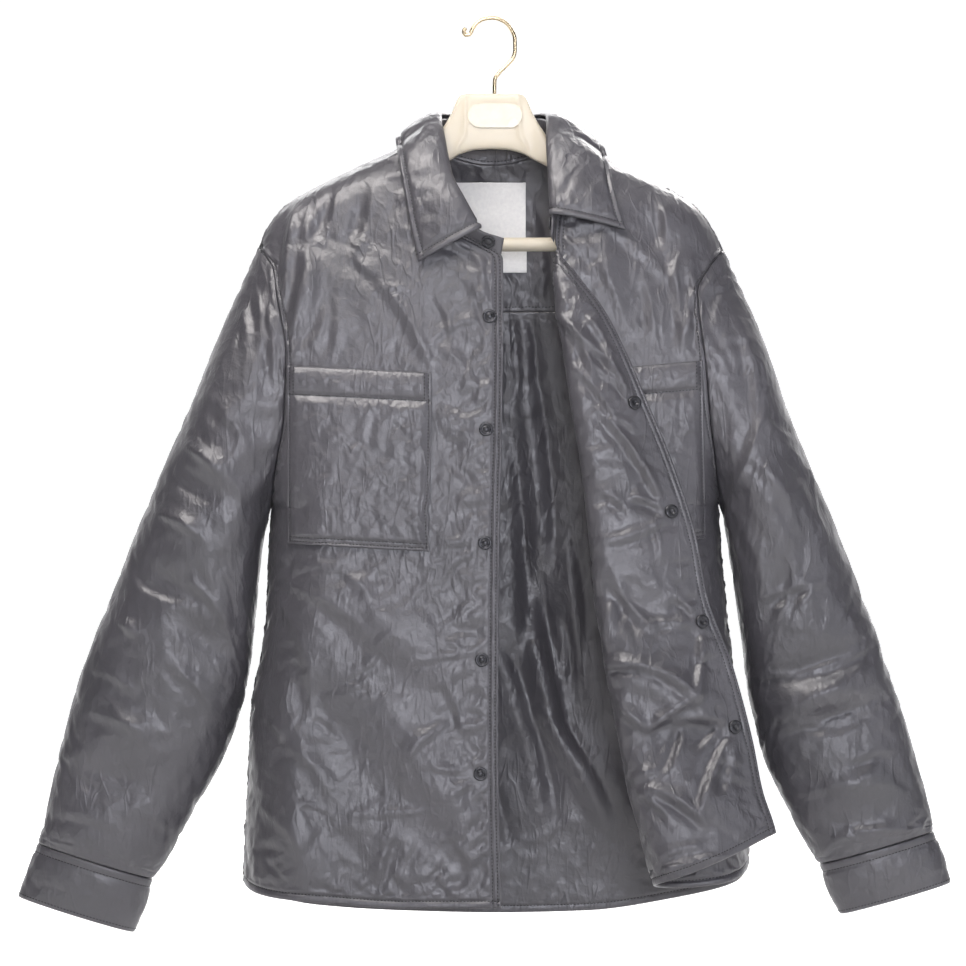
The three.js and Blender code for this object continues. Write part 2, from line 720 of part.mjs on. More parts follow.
// The leaf's edge rests a little way off the garment, over the shoulder line too
function collarEdge(row) {
  const side = row.edgeX < 0 ? right : left;
  const off = LEAF_WALL + LEAF_REST;
  const drop = side.shoulder(Math.abs(row.edgeX)) - row.edgeZ;
  const overTop = Math.sqrt(Math.max(0, 1 - (Math.min(drop, 0) / off) ** 2));
  const depth = (row.forward > 0 ? frontDepth : backDepth)(Math.max(0, drop));
  return vector(row.edgeX, -Math.sign(row.forward) * (depth + off * overTop), row.edgeZ);
}

function leafGrid() {
  const rows = tubeRows(COLLAR, LEAF_COLUMNS);
  const rolls = rows.map((row) => vector(row.rollX, row.rollY, row.rollZ));
  const grid = [];
  for (let v = 0; v < LEAF_ROWS; v += 1) grid.push([]);
  rows.forEach((row, u) => {
    const edge = collarEdge(row);
    const fall = edge.clone().sub(rolls[u]).normalize();
    const along = rolls[Math.min(u + 1, LEAF_COLUMNS - 1)].clone().sub(rolls[Math.max(u - 1, 0)]).normalize();
    const outward = along.clone().cross(fall).normalize();
    const lift = outward.clone().multiplyScalar(LEAF_LEAN).addScaledVector(fall, -1).normalize();
    const root = rolls[u].clone().addScaledVector(lift, LEAF_WALL + LEAF_ROOT_GAP);
    const arc = new THREE.CubicBezierCurve3(
      root,
      root.clone().addScaledVector(outward, LEAF_SPRING).addScaledVector(lift, LEAF_START_LIFT),
      edge.clone().lerp(rolls[u], LEAF_BEND).addScaledVector(outward, LEAF_SPRING * LEAF_BEND_SPRING),
      edge,
    );
    arc.getPoints(LEAF_ROWS - 1).forEach((point, v) => grid[v].push(point));
  });
  return grid;
}

// Places on the fronts: a point on the outer face and the direction out of it
function lengthAlong(line, matches) {
  let length = 0;
  for (let i = 1; i < line.length; i += 1) {
    if (matches(line[i])) return length;
    length += line[i].distanceTo(line[i - 1]);
  }
  return length;
}

function pointAtLength(line, wanted) {
  let remaining = wanted;
  for (let i = 1; i < line.length; i += 1) {
    const step = line[i].distanceTo(line[i - 1]);
    if (remaining <= step) return line[i - 1].clone().lerp(line[i], remaining / step);
    remaining -= step;
  }
  return line[line.length - 1].clone();
}

function moveOut(grid, facing, distance) {
  const normals = gridNormals(grid, false);
  return grid.map((row, v) => row.map((point, u) => (
    point.clone().addScaledVector(normals[v][u], facing * distance(v))
  )));
}

// Chest pockets, laid on the fronts, with a padded band along the top
const POCKET_WIDTH = 143;
const POCKET_HEIGHT = 176;
const POCKET_BAND = 28;
const POCKET_WALL = 2.4;
const BAND_WALL = 4.6;
const POCKET_COLUMNS = 14;
const POCKET_ROWS = [0, POCKET_BAND / 2, POCKET_BAND - 2, POCKET_BAND, 56, 86, 116, 146, POCKET_HEIGHT];
const POCKET_RIGHT = { sideTop: -202.5, sideBottom: -200, topZ: -347, slope: -0.052 };
const POCKET_LEFT = { sideTop: 208, sideBottom: 209, topZ: -342, slope: -0.09 };

function pocketGrid(lineAt, sign, folds, pocket) {
  return POCKET_ROWS.map((down) => {
    const row = [];
    for (let u = 0; u < POCKET_COLUMNS; u += 1) {
      const across = (POCKET_WIDTH * u) / (POCKET_COLUMNS - 1);
      const z = pocket.topZ - down + pocket.slope * across;
      const line = lineAt(z);
      const startX = lerp(pocket.sideTop, pocket.sideBottom, down / POCKET_HEIGHT);
      const start = lengthAlong(line, (point) => sign * point.x < sign * startX);
      const point = pointAtLength(line, start + across);
      point.y -= foldAt(folds, point);
      row.push(point);
    }
    return row;
  });
}

function pocketPiece(grid, facing) {
  const thickness = (v) => (POCKET_ROWS[v] < POCKET_BAND ? BAND_WALL : POCKET_WALL);
  return sheet(moveOut(grid, facing, (v) => POCKET_GAP + thickness(v)), { facing, wall: thickness });
}

// Snaps: small turned rings that lie on the cloth
const STUD = table('radius height', [
  [0, 0], [6.5, 0], [7, 0.8], [6.2, 1.9], [5, 1.9], [4.2, 1.1], [2.8, 1.1], [2.4, 2.3], [0, 2.3],
]);
const SOCKET = table('radius height', [
  [0, 0], [6.4, 0], [7, 0.8], [6.4, 1.9], [3.4, 2.4], [2.6, 1.0], [0, 1.0],
]);
const SNAP_SIDES = 12;
function snapGeometry(profile) {
  const outline = profile.map((row) => new THREE.Vector2(row.radius, row.height));
  return new THREE.LatheGeometry(outline, SNAP_SIDES);
}

const SNAP_REACH = 6;
function placeOnLine(lineAt, folds, x, z, pick) {
  const at = (wantedX, wantedZ) => {
    const line = pick(lineAt(wantedZ));
    const i = line.findIndex((point, k) => k > 0 && (point.x - wantedX) * (line[k - 1].x - wantedX) <= 0);
    const share = (wantedX - line[i - 1].x) / (line[i].x - line[i - 1].x);
    const point = line[i - 1].clone().lerp(line[i], share);
    point.y -= foldAt(folds, point);
    return point;
  };
  const point = at(x, z);
  const across = at(x + SNAP_REACH, z).sub(at(x - SNAP_REACH, z));
  const up = at(x, z + SNAP_REACH).sub(at(x, z - SNAP_REACH));
  const towardViewer = across.cross(up).normalize();
  return { point, normal: towardViewer };
}

const wholeLine = (line) => line;
const flapLine = (line) => line.slice(-FLAP_STEPS - 1);
const STUDS = table('x z', [[-2.5, -298], [-6, -410], [-7, -522], [-10, -637], [-11.5, -749]]);
const SOCKETS = table('x z', [[140, -384], [176, -491], [206, -599], [238, -702]]);
const STAND_SNAP_COLUMN = 1;

// The hanger: a moulded neck and two arms, by the distance from the middle
const HANGER = table('out top bottom half', [
  [0, -74, -129, 7],
  [16, -74, -130, 7],
  [25, -74, -132, 7],
  [31, -75, -134, 7],
  [35, -80, -136, 7],
  [40, -92, -139, 7],
  [46, -103, -142, 7.5],
  [52, -112, -145, 8],
  [58, -122, -148, 8.5],
  [69, -128, -152, 9.5],
  [84, -132.5, -161, 11],
  [100, -138, -168, 12],
  [125, -150, -179, 13],
  [150, -162.5, -190, 14],
  [175, -175, -200, 15],
  [192, -186, -206, 14],
  [204, -196, -209, 10],
  [208, -201, -208, 6],
]);
const HANGER_SIDES = 14;
const NECK_SQUARE = 0.45;
const ARM_SQUARE = 1;
const NECK_END = 52;

function hangerGeometry() {
  const half = [...HANGER].reverse().map((row) => ({ ...row, x: -row.out }));
  const rows = [...half, ...HANGER.slice(1).map((row) => ({ ...row, x: row.out }))];
  const power = (value, exponent) => Math.sign(value) * Math.abs(value) ** exponent;
  const rings = rows.map((row) => {
    const square = row.out > NECK_END ? ARM_SQUARE : NECK_SQUARE;
    const ring = [];
    for (let i = 0; i < HANGER_SIDES; i += 1) {
      const angle = (2 * Math.PI * i) / HANGER_SIDES;
      const z = (row.top + row.bottom) / 2 + ((row.top - row.bottom) / 2) * power(Math.sin(angle), square);
      ring.push(vector(row.x, row.half * power(Math.cos(angle), square), z));
    }
    return ring;
  });
  const positions = [];
  const push = (a, b, c) => positions.push(...a.toArray(), ...b.toArray(), ...c.toArray());
  for (let k = 0; k < rings.length - 1; k += 1) {
    for (let i = 0; i < HANGER_SIDES; i += 1) {
      const next = (i + 1) % HANGER_SIDES;
      push(rings[k][i], rings[k][next], rings[k + 1][next]);
      push(rings[k][i], rings[k + 1][next], rings[k + 1][i]);
    }
  }
  const first = rings[0];
  const final = rings[rings.length - 1];
  for (let i = 1; i < HANGER_SIDES - 1; i += 1) {
    push(first[0], first[i + 1], first[i]);
    push(final[0], final[i], final[i + 1]);
  }
  const geometry = new THREE.BufferGeometry();
  geometry.setAttribute('position', new THREE.Float32BufferAttribute(positions, 3));
  const merged = mergeVertices(geometry, MERGE);
  merged.computeVertexNormals();
  return merged;
}

function rodGeometry(points, radius, sides, steps) {
  const outline = [];
  for (let i = 0; i < sides; i += 1) {
    const angle = (2 * Math.PI * i) / sides;
    outline.push(new THREE.Vector2(radius * Math.cos(angle), radius * Math.sin(angle)));
  }
  const extrudePath = new THREE.CatmullRomCurve3(points.map(([x, z]) => vector(x, 0, z)), false, 'centripetal');
  return new THREE.ExtrudeGeometry(new THREE.Shape(outline), { steps, extrudePath, bevelEnabled: false });
}

// The wire hook, from the hanger's neck up, over the rail and down to its curled tip
const HOOK_RADIUS = 2;
const HOOK_ROUTE = [
  [2.5, -73.7], [2.5, -68], [2.8, -60], [7, -53], [16, -44], [21.5, -37], [23, -30],
  [22.8, -19], [19, -9], [12, -1.5], [3, 1.8], [0, 2], [-8, 1], [-15, -3], [-19.5, -9],
  [-22.5, -14.5], [-26.5, -15], [-28.2, -11.5], [-26.5, -8],
];
const HOOK_SIDES = 8;
const HOOK_STEPS = 44;
const BAR_RADIUS = 7;
const BAR_SIDES = 10;
const BAR_STEPS = 26;
const BAR_ROUTE = [
  [-186, -205.5], [-185, -213], [-180, -220], [-170, -224], [-150, -224.5], [-60, -224.5],
  [60, -224.5], [150, -224.5], [170, -224], [180, -220], [185, -213], [186, -205.5],
];
const PLATE = { width: 54, height: 24, thickness: 1.2, x: 3, z: -96 };
const PLATE_CURVE = 10;

function plateGeometry() {
  const end = PLATE.height / 2;
  const reach = PLATE.width / 2 - end;
  const shape = new THREE.Shape();
  shape.absarc(reach, 0, end, -Math.PI / 2, Math.PI / 2, false);
  shape.absarc(-reach, 0, end, Math.PI / 2, (3 * Math.PI) / 2, false);
  const options = { depth: PLATE.thickness, bevelEnabled: false, curveSegments: PLATE_CURVE };
  return new THREE.ExtrudeGeometry(shape, options);
}

// Labels hang inside the back neck, just off the yoke's inner face
const LABEL = { left: -38, right: 34, top: -161, bottom: -219.4 };
const TAG = { left: -7, right: 35, top: -219.8, bottom: -251 };
const LABEL_WALL = 1;
const LABEL_STEPS = 4;
function labelGeometry(label) {
  const grid = [];
  for (let v = 0; v <= LABEL_STEPS; v += 1) {
    const z = lerp(label.top, label.bottom, v / LABEL_STEPS);
    const row = [];
    for (let u = 0; u <= LABEL_STEPS; u += 1) {
      const point = vector(lerp(label.left, label.right, u / LABEL_STEPS), 0, z);
      const behind = backDepth(NECK_TOP - z) + foldAt(FOLDS_BACK, point);
      point.y = behind - WALL - REST_GAP - LABEL_WALL;
      row.push(point);
    }
    grid.push(row);
  }
  return sheet(grid, { wall: () => LABEL_WALL });
}

const garment = new THREE.Group();
garment.name = 'jacket_on_hanger';
function add(name, geometry, material) {
  const mesh = new THREE.Mesh(geometry, material);
  mesh.name = name;
  garment.add(mesh);
  return mesh;
}

const SNAP_UP = vector(0, 1, 0);
function addSnap(name, profile, place, lift) {
  const snap = add(name, snapGeometry(profile), snapMetal);
  snap.position.copy(place.point).addScaledVector(place.normal, lift + SNAP_GAP);
  snap.quaternion.setFromUnitVectors(SNAP_UP, place.normal);
}

add('front_right', frontPiece(right, frontRightGrid), cloth);
add('front_left', frontPiece(left, frontLeftGrid), cloth);
add('yoke', sheet(yokeGrid, { facing: -1, normalAt: backNormal(yokeGrid, 0) }), cloth);
add('back', sheet(backGrid, { facing: -1, normalAt: backNormal(backGrid, YOKE_ROWS) }), cloth);
add('sleeve_right', sleevePiece(right, sleeveGrid(right, SLEEVE_RIGHT, FOLDS_SLEEVE_RIGHT)), cloth);
add('sleeve_left', sleevePiece(left, sleeveGrid(left, SLEEVE_LEFT, FOLDS_SLEEVE_LEFT)), cloth);
add('cuff_right', sheet(cuffGrid(CUFF_RIGHT), { around: true, facing: 1 }), cloth);
add('cuff_left', sheet(cuffGrid(CUFF_LEFT), { around: true, facing: -1 }), cloth);

const stand = standGrid();
add('collar_stand', sheet(stand, { facing: -1, wall: () => STAND_WALL }), cloth);
add('collar_leaf', sheet(leafGrid(), { facing: -1, wall: () => LEAF_WALL }), cloth);

const pocketRight = pocketGrid(frontRightLine, -1, FOLDS_FRONT_RIGHT, POCKET_RIGHT);
const pocketLeft = pocketGrid(frontLeftLine, 1, FOLDS_FRONT_LEFT, POCKET_LEFT);
add('pocket_right', pocketPiece(pocketRight, 1), cloth);
add('pocket_left', pocketPiece(pocketLeft, -1), cloth);

STUDS.forEach(({ x, z }, i) => {
  const place = placeOnLine(frontRightLine, FOLDS_FRONT_RIGHT, x, z, wholeLine);
  addSnap(`stud_${i + 1}`, STUD, place, 0);
});
SOCKETS.forEach(({ x, z }, i) => {
  const place = placeOnLine(frontLeftLine, FOLDS_FRONT_LEFT, x, z, flapLine);
  addSnap(`socket_${i + 1}`, SOCKET, place, WALL);
});
const standNormals = gridNormals(stand, false);
const studColumn = STAND_SNAP_COLUMN;
const socketColumn = STAND_COLUMNS - 1 - STAND_SNAP_COLUMN;
const studNormal = standNormals[1][studColumn].clone().negate();
const socketNormal = standNormals[1][socketColumn].clone();
addSnap('stud_collar', STUD, { point: stand[1][studColumn], normal: studNormal }, SEAM_GAP);
addSnap('socket_collar', SOCKET, { point: stand[1][socketColumn], normal: socketNormal }, STAND_WALL);

add('neck_label', labelGeometry(LABEL), paper);
add('neck_tag', labelGeometry(TAG), paper);
add('hanger_body', hangerGeometry(), ivory);
const plate = add('hanger_plate', plateGeometry(), brass);
plate.rotation.x = Math.PI / 2;
plate.position.set(PLATE.x, -HANGER[0].half - SEAM_GAP, PLATE.z);
add('trouser_bar', rodGeometry(BAR_ROUTE, BAR_RADIUS, BAR_SIDES, BAR_STEPS), ivory);
add('hook', rodGeometry(HOOK_ROUTE, HOOK_RADIUS, HOOK_SIDES, HOOK_STEPS), brass);

export default garment;
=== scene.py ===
"""A padded nylon jacket hanging open on a moulded clothes hanger, seen from the front.

Sizes are in millimetres until a mesh is made. +Z is up and the front faces -Y.
"""
import math

import bpy
import numpy as np
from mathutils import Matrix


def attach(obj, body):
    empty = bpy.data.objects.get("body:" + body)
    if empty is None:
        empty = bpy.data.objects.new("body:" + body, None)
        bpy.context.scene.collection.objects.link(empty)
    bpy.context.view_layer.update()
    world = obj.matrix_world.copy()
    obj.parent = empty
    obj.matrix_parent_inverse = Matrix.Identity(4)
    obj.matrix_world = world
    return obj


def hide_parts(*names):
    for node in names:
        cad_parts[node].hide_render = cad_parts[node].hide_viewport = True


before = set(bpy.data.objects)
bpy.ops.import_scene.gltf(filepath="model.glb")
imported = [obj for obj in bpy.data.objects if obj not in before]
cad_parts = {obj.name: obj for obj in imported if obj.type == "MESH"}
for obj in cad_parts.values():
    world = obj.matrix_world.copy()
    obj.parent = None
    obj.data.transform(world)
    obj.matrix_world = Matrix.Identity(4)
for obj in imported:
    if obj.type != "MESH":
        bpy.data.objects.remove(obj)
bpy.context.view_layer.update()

MM = 0.001

# Driving sizes, as on the CAD part
WALL = 3.5
SEAM_GAP = 0.3
NECK_HALF_WIDTH = 68.5
NECK_TOP = -119
BACK_NECK_DROP = 24
ARMHOLE_FRONT = 52
ARMHOLE_BACK = 48
SIDE_ROUND = 62
YOKE_SEAM = -290
UNDERARM_SHARE = 0.415
YOKE_SHARE = UNDERARM_SHARE * (1 - math.cos(math.pi * 4 / 12)) / 2
NECK_CORNER_SHARE = UNDERARM_SHARE * (1 - math.cos(math.pi * 5 / 12)) / 2
ARMHOLE_LEAN = 0.9          # how far a wall leans out at the top of the armhole
ARMHOLE_RISE = 0.6
PITCH = 3.0                 # between neighbouring points of a cloth grid
SEAM_TURN = 14              # distance over which a wall turns square to its seam


def table(columns, *rows):
    """Rows of named values: the first words name the columns."""
    return [dict(zip(columns.split(), row)) for row in rows]


FOLD = "x1 z1 x2 z2 width height"
CREASE = FOLD + " bow"
RING = "outer_x outer_z inner_x inner_z depth"


def curve_of(rows, key, column):
    """A smooth curve through a table's rows that never swings past them."""
    ordered = sorted(rows, key=lambda row: row[key])
    at = np.array([row[key] for row in ordered], float)
    value = np.array([row[column] for row in ordered], float)
    rise = np.diff(value) / np.diff(at)
    slope = np.concatenate([rise[:1], rise[:-1] * 0, rise[-1:]])
    product = rise[:-1] * rise[1:]
    total = np.where(product > 0, rise[:-1] + rise[1:], 1)
    slope[1:-1] = np.where(product > 0, 2 * product / total, 0)

    def curve(wanted):
        wanted = np.asarray(wanted, float)
        i = np.clip(np.searchsorted(at, wanted, side="right") - 1, 0, len(at) - 2)
        width = at[i + 1] - at[i]
        t = (wanted - at[i]) / width
        inside = (
            value[i] * (2 * t**3 - 3 * t**2 + 1)
            + value[i + 1] * (3 * t**2 - 2 * t**3)
            + width * (slope[i] * (t**3 - 2 * t**2 + t) + slope[i + 1] * (t**3 - t**2))
        )
        low = value[0] + slope[0] * (wanted - at[0])
        high = value[-1] + slope[-1] * (wanted - at[-1])
        return np.where(wanted <= at[0], low, np.where(wanted >= at[-1], high, inside))

    return curve


def lerp(a, b, t):
    return a + (b - a) * t


def fade(distance, width):
    """0 at no distance, 1 from width on, and smooth between."""
    t = np.clip(np.asarray(distance, float) / width, 0, 1)
    return t * t * (3 - 2 * t)


def unit(vectors):
    length = np.linalg.norm(vectors, axis=-1, keepdims=True)
    return vectors / np.where(length > 1e-9, length, 1)


# Depth of the cloth in front of and behind the shoulder line, by the drop below it
DRAPE = table(
    "drop front back",
    (0, 0, 0), (3, 12, 11), (8, 20, 19), (18, 28, 26), (40, 36, 34), (80, 43, 41),
    (150, 53, 50), (250, 63, 58), (400, 75, 66), (600, 84, 74), (780, 88, 80),
)
front_depth = curve_of(DRAPE, "drop", "front")
back_depth = curve_of(DRAPE, "drop", "back")

SHOULDER_RIGHT = table(
    "out z",
    (0, NECK_TOP), (NECK_HALF_WIDTH, NECK_TOP), (100, -131), (142, -150),
    (182, -170), (205, -184), (216, -195), (226, -210), (233, -227),
)
SHOULDER_LEFT = table(
    "out z",
    (0, NECK_TOP), (NECK_HALF_WIDTH, NECK_TOP), (100, -132), (137, -150),
    (178, -170), (201, -184), (212, -196), (223, -213), (231, -230),
)
SIDE_RIGHT = table(
    "z out",
    (-227, 233), (-250, 218), (-280, 213), (-335, 204), (-400, 206), (-440, 213), (-488, 220),
    (-521, 223), (-596, 226), (-640, 232), (-680, 240), (-780, 245), (-852, 249),
)
SIDE_LEFT = table(
    "z out",
    (-230, 231), (-248, 216), (-273, 204), (-300, 206), (-342, 211), (-400, 216), (-440, 221),
    (-483, 226), (-540, 230), (-603, 236), (-662, 243), (-700, 248), (-780, 254), (-840, 257),
)
EDGE_RIGHT = table(
    "z x",
    (NECK_TOP, -NECK_HALF_WIDTH), (-143, -66), (-172, -58), (-200, -44), (-220, -22), (-236, 11),
    (-320, 11), (-403, 10), (-486, 8), (-552, 7), (-705, 6), (-881, 9),
)
TURN_LEFT = table(
    "z fold edge radius lift",
    (NECK_TOP, 68.5, 68.5, 0, 0), (-172, 67, 67, 0, 0), (-226, 62, 62, 0, 0),
    (-262, 64, 86, 5, 4), (-290, 66, 108, 8, 7), (-334, 73, 131, 10, 9),
    (-383, 80, 152, 11, 10), (-444, 90, 177, 12, 10), (-516, 98, 200, 13, 10),
    (-575, 104, 211, 14, 10), (-641, 114, 235, 16, 11), (-717, 128, 255, 19, 14),
    (-764, 137, 264, 22, 18), (-806, 148, 277, 26, 22), (-870, 164, 286, 30, 26),
)
HEM_FRONT_RIGHT = table(
    "u z", (0, -852), (0.05, -860), (0.2, -869), (0.45, -876), (0.7, -881), (1, -881)
)
HEM_FRONT_LEFT = table("u z", (0, -840), (0.2, -852), (0.42, -861), (0.55, -856), (1, -806))
HEM_BACK = table(
    "u z",
    (0, -852), (0.07, -872), (0.2, -891), (0.35, -897), (0.5, -899),
    (0.65, -897), (0.8, -884), (0.93, -864), (1, -840),
)

# Large folds that the CAD part has too, in height above the cloth
FOLDS_FRONT_RIGHT = table(
    FOLD,
    (-182, -245, -188, -300, 11, 8), (-154, -178, -172, -225, 12, -6),
    (-118, -170, -138, -240, 14, -5), (-150, -560, -60, -640, 22, 5),
    (-200, -640, -120, -760, 24, -6), (-90, -690, -30, -800, 22, 5),
    (-210, -760, -180, -850, 20, 6),
)
FOLDS_FRONT_LEFT = table(
    FOLD,
    (150, -190, 172, -240, 13, -6), (110, -210, 120, -280, 14, 5),
    (190, -240, 188, -310, 12, 7), (110, -575, 170, -595, 16, -5),
    (140, -640, 230, -690, 18, 7), (150, -720, 240, -700, 18, -6),
    (190, -760, 250, -790, 18, 6),
)
FOLDS_BACK = table(
    FOLD,
    (47, -620, 60, -690, 16, -7), (60, -690, 130, -800, 18, -8), (20, -500, 95, -720, 20, 6),
    (-40, -420, 20, -700, 24, -6), (-120, -380, -90, -760, 26, 7), (-180, -520, -150, -840, 22, -6),
    (150, -400, 120, -640, 24, 6), (190, -480, 200, -800, 22, -7),
)
FOLDS_SLEEVE_RIGHT = table(
    FOLD,
    (-305, -425, -268, -455, 13, 7), (-312, -452, -276, -475, 11, -5),
    (-330, -494, -292, -514, 13, 7), (-345, -556, -302, -572, 12, -6),
    (-370, -600, -356, -616, 14, 6), (-300, -600, -262, -640, 18, -6),
    (-390, -690, -330, -720, 16, 6), (-410, -752, -350, -760, 14, -6),
)
FOLDS_SLEEVE_LEFT = table(
    FOLD,
    (248, -330, 262, -400, 14, -7), (262, -440, 300, -500, 16, 7), (300, -540, 280, -600, 16, -6),
    (250, -665, 380, -624, 13, -8), (270, -690, 385, -655, 14, 8), (290, -710, 385, -682, 12, -8),
    (330, -770, 400, -750, 14, 7), (335, -822, 420, -808, 10, 6),
)


def fold_shift(folds, x, z):
    """The height that a table's folds add at places of the front view."""
    shift = np.zeros(np.shape(x))
    for fold in folds:
        along_x = fold["x2"] - fold["x1"]
        along_z = fold["z2"] - fold["z1"]
        square = along_x**2 + along_z**2
        share = np.clip(((x - fold["x1"]) * along_x + (z - fold["z1"]) * along_z) / square, 0, 1)
        off_x = x - fold["x1"] - share * along_x
        off_z = z - fold["z1"] - share * along_z
        off = (off_x**2 + off_z**2) / fold["width"] ** 2
        shift += fold["height"] * np.exp(-off) * (0.45 + 0.55 * np.sin(math.pi * share))
    return shift


# The two sides of the garment, each with its own armhole, seam and shoulder
class Side:
    def __init__(self, sign, shoulder, seam, hem):
        self.sign = sign
        self.shoulder = curve_of(shoulder, "out", "z")
        self.seam = curve_of(seam, "z", "out")
        self.top = shoulder[-1]["z"]
        self.hem = hem[0]["z"]
        self.underarm = lerp(self.top, self.hem, UNDERARM_SHARE)

    def armhole_angle(self, z):
        share = np.clip((self.top - z) / (self.top - self.underarm), 0, 1)
        return np.arccos(1 - 2 * share)

    def armhole_normal(self, angle, forward=1):
        """Which way a wall faces round the armhole: out at its top, forward or back below."""
        up = np.cos(angle)
        lean = self.sign * ARMHOLE_LEAN * np.maximum(0, up) ** 2
        return unit(np.stack([lean, -forward * np.sin(angle), ARMHOLE_RISE * up], axis=-1))

    def wall_normal(self, z, forward):
        """The same by height, and straight out below the underarm."""
        above = self.armhole_normal(self.armhole_angle(z), forward)
        return np.where((z <= self.underarm)[..., None], np.array([self.sign, 0.0, 0.0]), above)


right = Side(-1, SHOULDER_RIGHT, SIDE_RIGHT, HEM_FRONT_RIGHT)
left = Side(1, SHOULDER_LEFT, SIDE_LEFT, HEM_FRONT_LEFT)

edge_right = curve_of(EDGE_RIGHT, "z", "x")
fold_left = curve_of(TURN_LEFT, "z", "fold")
edge_left = curve_of(TURN_LEFT, "z", "edge")
radius_left = curve_of(TURN_LEFT, "z", "radius")
lift_left = curve_of(TURN_LEFT, "z", "lift")
CORNER_STEPS = 24
FACE_STEPS = 60
FLAP_STEPS = 16
CALM_SIDE = 50
CALM_TOP = 70


def fold_at(folds, points):
    """Large folds die away towards the side seams and the shoulder line."""
    x, z = points[..., 0], points[..., 2]
    out = np.abs(x)
    seam = np.where(
        x < 0, right.seam(np.minimum(z, right.top)), left.seam(np.minimum(z, left.top))
    )
    shoulder = np.where(x < 0, right.shoulder(out), left.shoulder(out))
    calm = fade(seam - out, CALM_SIDE) * fade(shoulder - z, CALM_TOP)
    return calm * fold_shift(folds, x, z)


def face_line(side, z, end_x, forward):
    """The outer face at each height, from the side seam to end_x, as lines of points."""
    depth_at = front_depth if forward > 0 else back_depth
    reach = (ARMHOLE_FRONT if forward > 0 else ARMHOLE_BACK) * np.sin(side.armhole_angle(z))
    start_x = side.sign * side.seam(np.minimum(z, side.top))
    start_y = (reach + SEAM_GAP / 2)[:, None]
    inward = np.sign(end_x - start_x)
    corner = np.minimum(SIDE_ROUND, np.abs(end_x - start_x) / 2)
    turn = np.linspace(0, math.pi / 2, CORNER_STEPS + 1)
    step = np.linspace(0, 1, FACE_STEPS + 1)[1:]
    x_corner = start_x[:, None] + (inward * corner)[:, None] * (1 - np.cos(turn))
    x_flat = lerp((start_x + inward * corner)[:, None], end_x[:, None], step)
    x = np.concatenate([x_corner, x_flat], axis=1)
    rise = np.concatenate([np.sin(turn), np.ones(FACE_STEPS)])
    depth = np.maximum(depth_at(np.maximum(0, side.shoulder(np.abs(x)) - z[:, None])), SEAM_GAP / 2)
    y = -forward * lerp(start_y, depth, rise)
    return np.stack([x, y, np.broadcast_to(z[:, None], x.shape)], axis=-1)


def front_right_line(z):
    return face_line(right, z, edge_right(z), 1)


def front_left_line(z):
    """The left front runs to its fold, turns forward round it and comes back to its free edge."""
    fold = fold_left(z)
    flap = np.maximum(0, edge_left(z) - fold)
    flap = np.where(flap < 1, 0, flap)
    radius = np.minimum(np.maximum(radius_left(z), 0), flap / 3)
    line = face_line(left, z, fold + radius, 1)
    seat = line[:, -1, 1]
    turn = math.pi * np.arange(1, CORNER_STEPS + 1) / CORNER_STEPS
    turned = np.stack([
        (fold + radius)[:, None] - radius[:, None] * np.sin(turn),
        seat[:, None] - radius[:, None] * (1 - np.cos(turn)),
        np.broadcast_to(z[:, None], (len(z), CORNER_STEPS)),
    ], axis=-1)
    under = front_depth(np.maximum(0, left.shoulder(edge_left(z)) - z))
    end_y = np.where(flap > 0, np.minimum(-under, seat) - lift_left(z), seat)
    end = np.stack([np.where(flap > 0, edge_left(z), fold), end_y, z], axis=-1)
    share = (np.arange(1, FLAP_STEPS + 1) / FLAP_STEPS)[None, :, None]
    back = lerp(turned[:, -1:, :], end[:, None, :], share)
    back[..., 1] -= 0.35 * radius[:, None] * np.sin(math.pi * share[..., 0])
    return np.concatenate([line, turned, back], axis=1)


def back_line(z):
    middle = np.zeros_like(z)
    right_half = face_line(right, z, middle, -1)
    left_half = face_line(left, z, middle, -1)[:, ::-1]
    return np.concatenate([right_half, left_half[:, 1:]], axis=1)


def along(lines, shares):
    """The point of each line at a share of its length."""
    step = np.linalg.norm(np.diff(lines, axis=1), axis=-1)
    length = np.concatenate([np.zeros((len(lines), 1)), np.cumsum(step, axis=1)], axis=1)
    wanted = length[:, -1] * shares
    i = np.clip((length < wanted[:, None]).sum(axis=1), 1, lines.shape[1] - 1)
    row = np.arange(len(lines))
    low, high = length[row, i - 1], length[row, i]
    t = np.clip((wanted - low) / np.maximum(high - low, 1e-9), 0, 1)
    return lerp(lines[row, i - 1], lines[row, i], t[:, None])


EDGE_STEPS = (0.0, 0.5, 1.2, 2.2, 3.6)
SEWN_STEPS = (0.0, 0.5, 1.2, 2.2, 3.2, 4.2, 5.2, 6.2, 7.0, 7.8, 8.6, 9.6, 10.8, 12.2)


def shares_of(length, pitch=PITCH, steps=EDGE_STEPS):
    """Even shares of a length, with closer ones at both ends so that an edge is round."""
    near = np.array(steps) / length
    inner = np.linspace(near[-1], 1 - near[-1], int(length / pitch))
    return np.concatenate([near[:-1], inner, 1 - near[:-1][::-1]])


def panel_grid(line, columns, top, bottom, shares, folds, forward, flat_top):
    """Rows of points: each column runs from the shoulder line or neck down to the hem."""
    top_z = top(np.zeros(len(columns)), columns)
    for _ in range(6):
        top_z = top(along(line(top_z), columns)[:, 0], columns)
    grid = np.stack([
        along(line(lerp(top_z, bottom(columns), share(columns))), columns) for share in shares
    ])
    height = -forward * fold_at(folds, grid)
    if flat_top:
        on_shoulder = np.abs(grid[0, :, 0]) > NECK_HALF_WIDTH - 0.1
        height[0] = np.where(on_shoulder, 0, height[0])
        grid[0, :, 1] = np.where(on_shoulder, -forward * SEAM_GAP / 2, grid[0, :, 1])
    grid[..., 1] += height
    return grid


